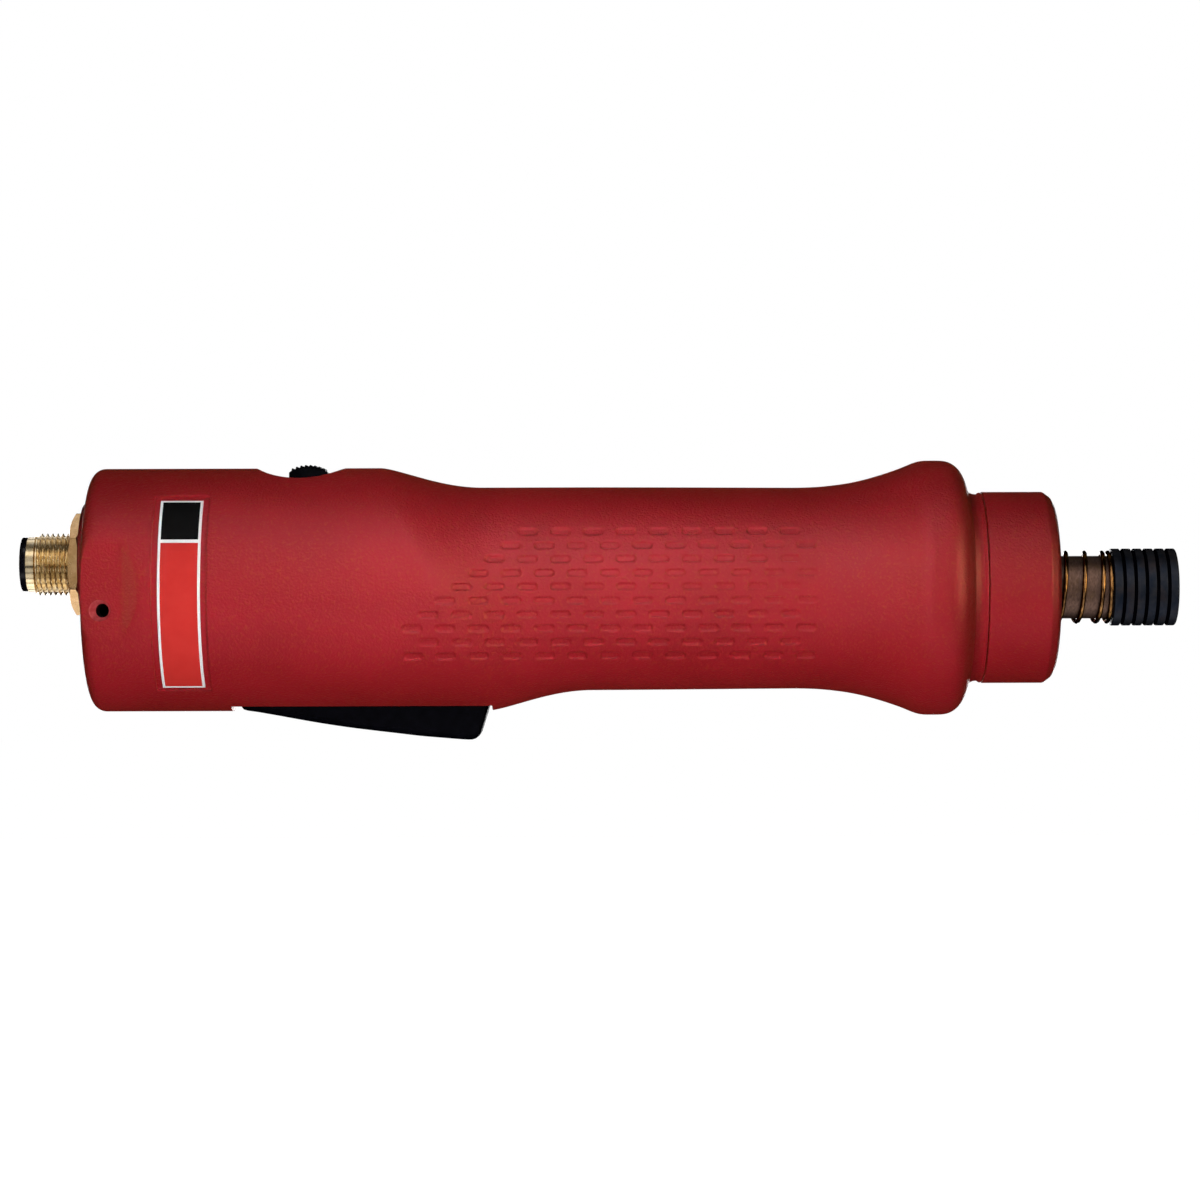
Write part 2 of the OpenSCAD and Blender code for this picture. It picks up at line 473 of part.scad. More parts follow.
housing_left();
housing_right();
housing_screws();
nose_cap();
label_plate();
connector_shell();
connector_nut();
connector_insert();
connector_pins();
connector_seal();
power_wires();
control_board();
board_components();
start_switch();
reverse_switch();
lever_pin();
lever_spring();
motor_case();
motor_end_cap();
stator_core();
stator_windings();
motor_leads();
hall_board();
motor_rear_bearing();
motor_front_bearing();
gear_case();
output_bearing();
spindle_bearing();
clutch_sensor();
lever();
switch_plunger();
reverse_knob();
reverse_slider();
rotor_shaft();
rotor_magnet();
motor_pinion();
first_carrier();
first_planet_pins();
first_planet_a();
first_planet_b();
first_planet_c();
output_carrier();
second_planet_pins();
second_planet_a();
second_planet_b();
second_planet_c();
clutch_cam();
clutch_balls();
clutch_cup();
torque_spring();
spring_seat();
adjusting_nut();
spindle();
spring_collar();
chuck_spring();
chuck_balls();
sleeve_ring();
chuck_sleeve();
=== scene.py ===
import bpy, bmesh, json, math
import numpy as np
from mathutils import Vector, Matrix

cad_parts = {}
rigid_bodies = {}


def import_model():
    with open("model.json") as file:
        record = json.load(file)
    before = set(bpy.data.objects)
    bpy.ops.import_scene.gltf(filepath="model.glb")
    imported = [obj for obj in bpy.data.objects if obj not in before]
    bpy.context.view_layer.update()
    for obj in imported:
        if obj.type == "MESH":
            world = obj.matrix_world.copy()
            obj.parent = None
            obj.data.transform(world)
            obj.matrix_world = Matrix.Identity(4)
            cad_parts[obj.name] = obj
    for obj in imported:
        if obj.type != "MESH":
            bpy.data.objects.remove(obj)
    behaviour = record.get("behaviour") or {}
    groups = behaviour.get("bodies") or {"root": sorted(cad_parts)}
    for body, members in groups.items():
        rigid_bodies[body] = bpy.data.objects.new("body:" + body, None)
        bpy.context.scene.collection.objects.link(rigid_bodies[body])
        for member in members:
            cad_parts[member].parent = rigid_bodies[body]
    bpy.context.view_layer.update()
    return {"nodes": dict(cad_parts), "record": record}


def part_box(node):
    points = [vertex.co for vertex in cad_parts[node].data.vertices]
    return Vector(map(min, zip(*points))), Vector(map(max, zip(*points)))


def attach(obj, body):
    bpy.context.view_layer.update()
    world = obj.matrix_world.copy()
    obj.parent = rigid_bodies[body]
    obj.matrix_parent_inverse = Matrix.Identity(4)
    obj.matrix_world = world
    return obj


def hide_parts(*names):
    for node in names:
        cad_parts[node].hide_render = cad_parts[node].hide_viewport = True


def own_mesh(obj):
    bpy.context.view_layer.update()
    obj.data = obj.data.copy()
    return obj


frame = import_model()
U = 0.001                                   # lengths below are in millimetres


# ------------------------------------------------------------------ mesh tools
def make(name, verts, faces, mats=(), face_mats=None, sharp=35.0, weld=0.0):
    me = bpy.data.meshes.new(name)
    me.from_pydata([(x * U, y * U, z * U) for x, y, z in np.asarray(verts, float).tolist()], [], faces)
    for m in mats:
        me.materials.append(m)
    if face_mats is not None:
        me.polygons.foreach_set("material_index", face_mats)
    ob = bpy.data.objects.new(name, me)
    bpy.context.scene.collection.objects.link(ob)
    if weld:
        bm = bmesh.new(); bm.from_mesh(me)
        bmesh.ops.remove_doubles(bm, verts=bm.verts, dist=weld * U)
        bmesh.ops.recalc_face_normals(bm, faces=bm.faces)
        bm.to_mesh(me); bm.free()
    me.update()
    smooth(ob, sharp)
    return ob


def smooth(ob, angle=35.0):
    me = ob.data
    me.shade_smooth()
    me.set_sharp_from_angle(angle=math.radians(angle))


def recalc(ob):
    bm = bmesh.new(); bm.from_mesh(ob.data)
    bmesh.ops.recalc_face_normals(bm, faces=bm.faces)
    bm.to_mesh(ob.data); bm.free()


def apply_mod(ob):
    dg = bpy.context.evaluated_depsgraph_get()
    me = bpy.data.meshes.new_from_object(ob.evaluated_get(dg))
    old = ob.data
    ob.modifiers.clear()
    ob.data = me
    me.name = ob.name
    bpy.data.meshes.remove(old)


def boolean(ob, cutter, op="DIFFERENCE", keep=False):
    m = ob.modifiers.new("b", "BOOLEAN")
    m.operation = op; m.object = cutter; m.solver = "MANIFOLD"
    before = len(ob.data.polygons)
    dg = bpy.context.evaluated_depsgraph_get()
    me = bpy.data.meshes.new_from_object(ob.evaluated_get(dg))
    if len(me.polygons) == 0 or (len(me.polygons) == before and op != "UNION"):
        print("boolean had no effect:", ob.name, cutter.name, before, len(me.polygons))
    old = ob.data
    ob.modifiers.clear()
    ob.data = me
    me.name = ob.name
    bpy.data.meshes.remove(old)
    if not keep:
        drop(cutter)


def drop(ob):
    me = ob.data
    bpy.data.objects.remove(ob)
    if me is not None and me.users == 0:
        bpy.data.meshes.remove(me)


def fillet(points, radii, step=12.0):
    """Rounds the corners of an open polyline of (x, r) points. radii: one for each point."""
    out = []
    n = len(points)
    for i, (p, r) in enumerate(zip(points, radii)):
        p = np.array(p, float)
        if r <= 0 or i in (0, n - 1):
            out.append(tuple(p)); continue
        a = np.array(points[i - 1], float) - p
        b = np.array(points[i + 1], float) - p
        la, lb = np.linalg.norm(a), np.linalg.norm(b)
        a /= la; b /= lb
        ang = math.acos(max(-1, min(1, float(a @ b))))
        if ang > math.radians(179):
            out.append(tuple(p)); continue
        t = r / math.tan(ang / 2)
        lim = 0.49 * min(la, lb)
        if t > lim:
            t = lim; r = t * math.tan(ang / 2)
        c = p + (a + b) / np.linalg.norm(a + b) * (r / math.sin(ang / 2))
        s, e = p + a * t - c, p + b * t - c
        turn = math.pi - ang
        k = max(2, int(math.degrees(turn) / step) + 1)
        s0 = math.atan2(s[1], s[0]); s1 = math.atan2(e[1], e[0])
        d = (s1 - s0 + math.pi) % (2 * math.pi) - math.pi
        for j in range(k + 1):
            th = s0 + d * j / k
            out.append((c[0] + r * math.cos(th), c[1] + r * math.sin(th)))
    return out


def split_long(profile, limit=1.2):
    """Adds points on the straight stretches, for even shading."""
    out = [profile[0]]
    for a, b in zip(profile, profile[1:]):
        L = math.hypot(b[0] - a[0], b[1] - a[1])
        k = max(1, int(math.ceil(L / limit)))
        for j in range(1, k + 1):
            out.append((a[0] + (b[0] - a[0]) * j / k, a[1] + (b[1] - a[1]) * j / k))
    return out


def lathe(name, profile, mats=(), n=128, y0=0.0, z0=0.0, closed=False, sharp=35.0, wobble=None):
    """Turns (x, r) points about the line y=y0, z=z0. closed: the profile is a loop (a ring)."""
    P = np.array(profile, float)
    m = len(P)
    th = np.arange(n) * 2 * math.pi / n
    X = np.repeat(P[:, 0:1], n, 1); R = np.repeat(P[:, 1:2], n, 1)
    if wobble is not None:
        R = R + wobble(X, np.repeat(th[None, :], m, 0))
    V = np.stack([X, y0 - R * np.sin(th)[None, :], z0 + R * np.cos(th)[None, :]], -1).reshape(-1, 3)
    F = []
    rows = range(m) if closed else range(m - 1)
    for i in rows:
        a, b = i * n, ((i + 1) % m) * n
        for k in range(n):
            k2 = (k + 1) % n
            F.append((a + k, a + k2, b + k2, b + k))
    if not closed:
        if P[0, 1] > 1e-6: F.append(tuple(range(n - 1, -1, -1)))
        if P[-1, 1] > 1e-6: F.append(tuple((m - 1) * n + k for k in range(n)))
    return make(name, V, F, mats, sharp=sharp, weld=1e-5 if not closed else 1e-6)


def rounded_box(name, lo, hi, r, axis="y", n=6, mats=()):
    """A box whose four edges along one axis are rounded."""
    lo, hi = np.array(lo, float), np.array(hi, float)
    i, j, k = {"x": (1, 2, 0), "y": (0, 2, 1), "z": (0, 1, 2)}[axis]
    pts = []
    for sx, sz, a0 in ((1, 1, 0), (-1, 1, 90), (-1, -1, 180), (1, -1, 270)):
        cx = (hi[i] - r) if sx > 0 else (lo[i] + r)
        cz = (hi[j] - r) if sz > 0 else (lo[j] + r)
        for q in range(n + 1):
            a = math.radians(a0 + 90 * q / n)
            pts.append((cx + r * math.cos(a), cz + r * math.sin(a)))
    return extrude(name, pts, lo[k], hi[k], axis, mats)


def extrude(name, pts, lo, hi, axis="y", mats=(), sharp=35.0, layers=None):
    i, j, k = {"x": (1, 2, 0), "y": (0, 2, 1), "z": (0, 1, 2)}[axis]
    m = len(pts)
    V = []
    levels = layers or [lo, hi]
    for c in levels:
        for a, b in pts:
            v = [0, 0, 0]; v[i] = a; v[j] = b; v[k] = c
            V.append(v)
    F = [tuple(range(m)), tuple((len(levels) - 1) * m + q for q in range(m - 1, -1, -1))]
    for L in range(len(levels) - 1):
        F += [(L * m + q, (L + 1) * m + q, (L + 1) * m + (q + 1) % m, L * m + (q + 1) % m) for q in range(m)]
    return make(name, V, F, mats, sharp=sharp, weld=1e-6)


def spline(points, step):
    """A smooth curve through (x, r) points, sampled evenly by length."""
    P = np.array(points, float)
    P = np.vstack([2 * P[0] - P[1], P, 2 * P[-1] - P[-2]])
    out = []
    for i in range(1, len(P) - 2):
        p0, p1, p2, p3 = P[i - 1], P[i], P[i + 1], P[i + 2]
        t0 = 0.0
        t1 = t0 + max(1e-9, np.linalg.norm(p1 - p0)) ** 0.5
        t2 = t1 + max(1e-9, np.linalg.norm(p2 - p1)) ** 0.5
        t3 = t2 + max(1e-9, np.linalg.norm(p3 - p2)) ** 0.5
        k = max(2, int(np.linalg.norm(p2 - p1) / 0.05))
        for q in range(k):
            t = t1 + (t2 - t1) * q / k
            A1 = (t1 - t) / (t1 - t0) * p0 + (t - t0) / (t1 - t0) * p1
            A2 = (t2 - t) / (t2 - t1) * p1 + (t - t1) / (t2 - t1) * p2
            A3 = (t3 - t) / (t3 - t2) * p2 + (t - t2) / (t3 - t2) * p3
            B1 = (t2 - t) / (t2 - t0) * A1 + (t - t0) / (t2 - t0) * A2
            B2 = (t3 - t) / (t3 - t1) * A2 + (t - t1) / (t3 - t1) * A3
            out.append((t2 - t) / (t2 - t1) * B1 + (t - t1) / (t2 - t1) * B2)
    out.append(P[-2])
    out = np.array(out)
    s = np.concatenate([[0], np.cumsum(np.linalg.norm(np.diff(out, axis=0), axis=1))])
    m = max(2, int(round(s[-1] / step)))
    q = np.linspace(0, s[-1], m + 1)
    return [(float(np.interp(v, s, out[:, 0])), float(np.interp(v, s, out[:, 1]))) for v in q]


def sweep(name, path, r, n=12, mats=()):
    """A round wire along a path, its ends closed."""
    P = np.array(path, float)
    m = len(P)
    D = np.gradient(P, axis=0); D /= np.linalg.norm(D, axis=1)[:, None]
    u = np.cross(D[0], [1, 0.3, 0.2]); u /= np.linalg.norm(u)
    V = []
    for i in range(m):
        u = u - D[i] * (u @ D[i]); u /= np.linalg.norm(u)
        v = np.cross(D[i], u)
        for k in range(n):
            a = 2 * math.pi * k / n
            V.append(P[i] + r * (math.cos(a) * u + math.sin(a) * v))
    F = [(i * n + k, i * n + (k + 1) % n, (i + 1) * n + (k + 1) % n, (i + 1) * n + k) for i in range(m - 1) for k in range(n)]
    F += [tuple(range(n - 1, -1, -1)), tuple((m - 1) * n + k for k in range(n))]
    ob = make(name, V, F, mats, sharp=50)
    recalc(ob)
    smooth(ob, 50)
    return ob


# ------------------------------------------------------------------- materials
def srgb(c):
    return tuple((v / 12.92 if v <= 0.04045 else ((v + 0.055) / 1.055) ** 2.4) for v in c)


class Mat:
    def __init__(self, name, rough=0.5, metal=0.0, spec=0.5, **kw):
        self.m = bpy.data.materials.new(name)
        self.m.use_nodes = True
        self.t = self.m.node_tree
        self.b = self.t.nodes["Principled BSDF"]
        self.b.inputs["Roughness"].default_value = rough
        self.b.inputs["Metallic"].default_value = metal
        self.b.inputs["Specular IOR Level"].default_value = spec
        for k, v in kw.items():
            self.b.inputs[k.replace("_", " ")].default_value = v
        self.co = self.t.nodes.new("ShaderNodeTexCoord").outputs["Object"]
        self.nrm = None

    def node(self, kind, **kw):
        n = self.t.nodes.new(kind)
        for k, v in kw.items():
            setattr(n, k, v)
        return n

    def link(self, a, b):
        self.t.links.new(a, b)

    def noise(self, scale, detail=3, rough=0.5, stretch=None, distort=0.0):
        n = self.node("ShaderNodeTexNoise")
        n.inputs["Scale"].default_value = scale
        n.inputs["Detail"].default_value = detail
        n.inputs["Roughness"].default_value = rough
        n.inputs["Distortion"].default_value = distort
        if stretch:
            mp = self.node("ShaderNodeMapping")
            mp.inputs["Scale"].default_value = stretch
            self.link(self.co, mp.inputs["Vector"]); self.link(mp.outputs[0], n.inputs["Vector"])
        else:
            self.link(self.co, n.inputs["Vector"])
        return n.outputs["Fac"]

    def ramp(self, fac, stops):
        r = self.node("ShaderNodeValToRGB")
        el = r.color_ramp.elements
        while len(el) < len(stops):
            el.new(0.5)
        for e, (p, c) in zip(el, stops):
            e.position = p
            e.color = (*c, 1) if len(c) == 3 else c
        self.link(fac, r.inputs["Fac"])
        return r.outputs["Color"]

    def map(self, fac, lo, hi, a=0.0, b=1.0):
        r = self.node("ShaderNodeMapRange")
        r.inputs["From Min"].default_value = a; r.inputs["From Max"].default_value = b
        r.inputs["To Min"].default_value = lo; r.inputs["To Max"].default_value = hi
        self.link(fac, r.inputs["Value"])
        return r.outputs["Result"]

    def math(self, op, a, b=None):
        n = self.node("ShaderNodeMath", operation=op)
        for i, v in enumerate((a, b)):
            if v is None: continue
            if isinstance(v, (int, float)): n.inputs[i].default_value = v
            else: self.link(v, n.inputs[i])
        return n.outputs[0]

    def mix(self, fac, a, b):
        n = self.node("ShaderNodeMix", data_type="RGBA")
        if isinstance(fac, (int, float)): n.inputs["Factor"].default_value = fac
        else: self.link(fac, n.inputs["Factor"])
        for k, v in (("A", a), ("B", b)):
            s = [i for i in n.inputs if i.name == k and i.type == "RGBA"][0]
            if isinstance(v, tuple): s.default_value = (*v, 1)
            else: self.link(v, s)
        return [o for o in n.outputs if o.type == "RGBA"][0]

    def color(self, c):
        if isinstance(c, tuple): self.b.inputs["Base Color"].default_value = (*c, 1)
        else: self.link(c, self.b.inputs["Base Color"])

    def rough(self, c):
        self.link(c, self.b.inputs["Roughness"])

    def bump(self, height, strength, distance):
        b = self.node("ShaderNodeBump")
        b.inputs["Strength"].default_value = strength
        b.inputs["Distance"].default_value = distance
        self.link(height, b.inputs["Height"])
        if self.nrm is not None: self.link(self.nrm, b.inputs["Normal"])
        self.nrm = b.outputs["Normal"]
        self.link(self.nrm, self.b.inputs["Normal"])

    def edges(self, radius):
        b = self.node("ShaderNodeBevel", samples=4)
        b.inputs["Radius"].default_value = radius
        self.nrm = b.outputs["Normal"]
        self.link(self.nrm, self.b.inputs["Normal"])


def red_shell(name, edge=0.00025):
    """Satin deep red moulding: fine grain, a warm brown bloom where it turns away."""
    m = Mat(name, rough=0.5, spec=1.0)
    base, dark, warm = srgb((0.665, 0.106, 0.160)), srgb((0.61, 0.086, 0.135)), srgb((0.66, 0.235, 0.126))
    c = m.mix(m.map(m.noise(45, 3), 0, 1, 0.35, 0.65), dark, base)
    speck = m.map(m.noise(2100, 2, 0.6), 0, 0.68, 0.52, 0.74)
    m.color(m.mix(speck, c, warm))
    m.rough(m.map(m.noise(900, 3), 0.36, 0.48, 0.3, 0.7))
    if edge: m.edges(edge)
    m.bump(m.noise(2100, 2, 0.6), 0.95, 0.00015)
    m.bump(m.noise(350, 2, 0.5), 0.10, 0.0003)
    m.b.inputs["Specular Tint"].default_value = (1.0, 0.50, 0.53, 1)
    m.b.inputs["Diffuse Roughness"].default_value = 0.1
    m.b.inputs["Sheen Weight"].default_value = 0.08
    m.b.inputs["Sheen Roughness"].default_value = 0.5
    m.b.inputs["Sheen Tint"].default_value = (1.0, 0.30, 0.0, 1)
    return m.m


def black_plastic(name):
    m = Mat(name, rough=0.46, spec=0.03)
    m.color(m.mix(m.map(m.noise(500, 3), 0, 1, 0.35, 0.65), srgb((0.010, 0.010, 0.022)), srgb((0.022, 0.022, 0.040))))
    m.rough(m.map(m.noise(1200, 3), 0.4, 0.54, 0.3, 0.7))
    m.edges(0.0002)
    m.bump(m.noise(2600, 3, 0.6), 0.2, 0.00008)
    return m.m


def metal(name, a, b, rough=(0.22, 0.36), grain=(1, 1, 1), scale=900, bump=0.06, edge=None, spots=None):
    m = Mat(name, rough=sum(rough) / 2, metal=1.0)
    n1 = m.noise(scale, 4, 0.6, stretch=grain)
    c = m.mix(m.map(n1, 0, 1, 0.3, 0.7), srgb(a), srgb(b))
    if spots:
        c = m.mix(m.map(m.noise(spots[1], 3, 0.6), 0, spots[2], 0.5, 0.75), c, srgb(spots[0]))
    m.color(c)
    m.rough(m.map(m.noise(scale * 0.8, 4, 0.6, stretch=grain), rough[0], rough[1], 0.3, 0.7))
    if edge: m.edges(edge)
    m.bump(n1, bump, 0.00005)
    return m.m


def plain(name, a, b, rough=0.5, spec=0.5, scale=700, bump=0.08, edge=None):
    m = Mat(name, rough=rough, spec=spec)
    n = m.noise(scale, 3)
    m.color(m.mix(m.map(n, 0, 1, 0.3, 0.7), srgb(a), srgb(b)))
    m.rough(m.map(m.noise(scale * 1.7, 3), rough * 0.88, min(1, rough * 1.12), 0.3, 0.7))
    if edge: m.edges(edge)
    m.bump(n, bump, 0.00006)
    return m.m


RED = red_shell("red_shell")
REDCAP = red_shell("red_cap", edge=0.0002)
BLACK = black_plastic("black_plastic")
NICKEL = metal("nickel_brass", (0.84, 0.77, 0.64), (0.74, 0.64, 0.47), (0.15, 0.24), (1, 1, 1), 500, 0.04, spots=((0.90, 0.87, 0.80), 260, 0.5))
NUTM = metal("nut_brass", (0.74, 0.60, 0.43), (0.62, 0.47, 0.29), (0.16, 0.30), (1, 1, 1), 500, 0.04, spots=((0.62, 0.50, 0.30), 260, 0.5))
GOLD = metal("gold_contact", (0.90, 0.74, 0.36), (0.80, 0.62, 0.28), (0.14, 0.22), (1, 1, 1), 500, 0.03)
INSERT = plain("insert_black", (0.03, 0.03, 0.055), (0.05, 0.05, 0.075), 0.22, 0.5, 600, 0.04)
SPINDLE = metal("spindle_steel", (0.43, 0.335, 0.295), (0.285, 0.215, 0.185), (0.38, 0.55), (3, 1, 1), 1400, 0.14, spots=((0.36, 0.28, 0.18), 420, 0.5))
SPRING = metal("spring_bronze", (0.56, 0.41, 0.25), (0.34, 0.23, 0.13), (0.14, 0.22), (1, 1, 1), 600, 0.05)
for n in SPRING.node_tree.nodes:
    if n.type == "BSDF_PRINCIPLED": n.inputs["Specular Tint"].default_value = (0.10, 0.07, 0.05, 1)
SLEEVE = metal("sleeve_dark", (0.165, 0.170, 0.195), (0.090, 0.115, 0.160), (0.42, 0.58), (1, 1, 1), 420, 0.10, spots=((0.21, 0.17, 0.16), 300, 0.5))
STEEL = metal("bright_steel", (0.68, 0.67, 0.65), (0.56, 0.55, 0.54), (0.24, 0.38), (3, 1, 1), 900, 0.05)
GEAR = metal("gear_steel", (0.60, 0.57, 0.53), (0.48, 0.46, 0.43), (0.28, 0.42), (1, 1, 1), 900, 0.05)
SINTER = metal("planet_sinter", (0.62, 0.58, 0.51), (0.50, 0.47, 0.42), (0.40, 0.58), (1, 1, 1), 2200, 0.12)
CLUTCH = metal("clutch_dark", (0.26, 0.26, 0.28), (0.18, 0.18, 0.20), (0.30, 0.45), (1, 1, 1), 900, 0.06)
LAMIN = metal("lamination", (0.36, 0.36, 0.38), (0.24, 0.24, 0.26), (0.35, 0.5), (30, 1, 1), 250, 0.3)
COPPER = metal("copper_wire", (0.80, 0.42, 0.22), (0.60, 0.28, 0.13), (0.22, 0.34), (1, 30, 1), 200, 0.5)
MAGNET = metal("magnet_dark", (0.26, 0.26, 0.28), (0.20, 0.20, 0.22), (0.30, 0.42), (1, 1, 1), 900, 0.05)
MOTOR = plain("motor_black", (0.11, 0.11, 0.12), (0.15, 0.15, 0.16), 0.4, 0.5, 800, 0.08)
SEAL = plain("seal_rubber", (0.05, 0.05, 0.05), (0.07, 0.07, 0.07), 0.7, 0.4, 900, 0.1)
WIRER = plain("wire_red", (0.62, 0.09, 0.07), (0.52, 0.06, 0.05), 0.4, 0.5, 500, 0.03)
WIREB = plain("wire_blue", (0.10, 0.16, 0.52), (0.08, 0.13, 0.42), 0.4, 0.5, 500, 0.03)
BOARD = plain("board_green", (0.05, 0.30, 0.13), (0.035, 0.22, 0.09), 0.3, 0.5, 400, 0.1)
CHIP = plain("chip_black", (0.07, 0.07, 0.08), (0.10, 0.10, 0.11), 0.55, 0.4, 1500, 0.1)
SWITCH = plain("switch_body", (0.08, 0.08, 0.09), (0.11, 0.11, 0.12), 0.5, 0.4, 1200, 0.08)
SWRED = plain("switch_red", (0.70, 0.10, 0.08), (0.60, 0.08, 0.06), 0.35, 0.5, 500, 0.03)
SLIDER = plain("slider_white", (0.86, 0.86, 0.83), (0.80, 0.80, 0.77), 0.45, 0.5, 700, 0.04)
LWHITE = plain("label_white", (0.99, 0.99, 0.99), (0.96, 0.96, 0.96), 0.5, 0.15, 900, 0.03)
LRED = plain("label_red", (0.85, 0.225, 0.205), (0.835, 0.21, 0.19), 0.5, 0.1, 300, 0.03)
LBLACK = plain("label_black", (0.02, 0.02, 0.025), (0.035, 0.035, 0.04), 0.5, 0.1, 300, 0.03)
# near-black colour for the sleeve's turned grooves: painted shade
GROOVE_SHADE = plain("groove_painted_shade", (0.004, 0.004, 0.010), (0.012, 0.012, 0.022), 0.7, 0.0, 900, 0.05)
# lighter pink for the chamfer round the bail hole: a painted highlight
CHAMFER_HIGHLIGHT = plain("bail_chamfer_painted_highlight", (0.80, 0.34, 0.35), (0.66, 0.18, 0.21), 0.4, 0.4, 900, 0.1)
# near-black colour for the walls of the bail hole: painted shade
HOLE_SHADE = plain("hole_painted_shade", (0.02, 0.015, 0.015), (0.035, 0.02, 0.02), 0.8, 0.05, 900, 0.05)

slot_mat = {"red_shell": RED, "red_nose": REDCAP, "black_plastic": BLACK, "label_red": LRED,
            "nickel_brass": NICKEL, "gold_contact": GOLD, "insert_black": INSERT, "seal_rubber": SEAL,
            "wire_red": WIRER, "wire_blue": WIREB, "board_green": BOARD, "chip_black": CHIP,
            "switch_body": SWITCH, "switch_red": SWRED, "slider_white": SLIDER, "bright_steel": STEEL,
            "lamination": LAMIN, "copper_wire": COPPER, "motor_black": MOTOR, "magnet_dark": MAGNET,
            "gear_steel": GEAR, "planet_sinter": SINTER, "clutch_dark": CLUTCH, "spring_steel": STEEL,
            "spring_bronze": SPRING, "spindle_steel": SPINDLE, "sleeve_dark": SLEEVE}
for sp in frame["record"]["subparts"]:
    ob = frame["nodes"][sp["node"]]
    for s in ob.material_slots:
        s.material = slot_mat[sp["material_slot"]]

# --------------------------------------------------------------- grip body
BODY_R, NECK_R = 23.3, 19.5


def s3(t):
    t = np.clip(t, 0, 1)
    return t * t * (3 - 2 * t)


def lean_r(x, a):
    start = -152.3 + 20.8 * (1 - np.cos(a)) / 2
    t = np.clip((x - start) / 19.5, 0, None)
    return BODY_R - (BODY_R - NECK_R) * s3(t ** 0.75)


FRONT = [(-113, 19.5), (-100, 19.45), (-86, 19.37), (-76, 19.31), (-72.7, 19.3), (-70.4, 19.35), (-68.1, 19.47), (-65.8, 19.7),
         (-63.5, 20.0), (-61.2, 20.42), (-58.8, 21.0), (-56.5, 21.67), (-54.2, 22.42), (-52.7, 22.96), (-51.5, 23.45),
         (-50.4, 23.9), (-49.2, 24.26), (-48.2, 24.39), (-47, 24.41), (-45.8, 24.41), (-44.7, 24.36), (-43.7, 24.16),
         (-42.9, 23.8), (-42.2, 23.3), (-41.6, 22.65), (-41.1, 21.85), (-40.7, 20.95), (-40.35, 19.9), (-40.1, 19.1)]
GROOVE = fillet([(-40.1, 19.1), (-39.95, 18.45), (-38.9, 18.0), (-38.1, 17.9), (-37.75, 18.2), (-37.4, 18.3), (-37.4, 15.5),
                 (-29.6, 15.5), (-29.6, 0.02)], [0, 0.3, 0.3, 0.25, 0.15, 0.12, 0, 0.2, 0], 20)

DIMPLES = []
for k in range(10):
    odd = k % 2 == 0
    count = ([9, 10, 11, 12, 12] if odd else [10, 11, 12, 13, 13])[k // 2]
    for j in range(count):
        DIMPLES.append(((-74.7 if odd else -71.6) - 6.155 * j, 10.75 - 2.6 * k))


def dimple_depth(X, Z):
    D = np.zeros_like(X)
    half, rad, depth, soft = 1.2, 0.60, 0.29, 0.26
    for cx, cz in DIMPLES:
        i0 = np.searchsorted(X[:, 0], cx - 2.6); i1 = np.searchsorted(X[:, 0], cx + 2.6)
        xs, zs = X[i0:i1], Z[i0:i1]
        d = np.hypot(np.maximum(np.abs(xs - cx) - half, 0), zs - cz)
        D[i0:i1] = np.maximum(D[i0:i1], depth * s3((rad + soft / 2 - d) / soft))
    return D


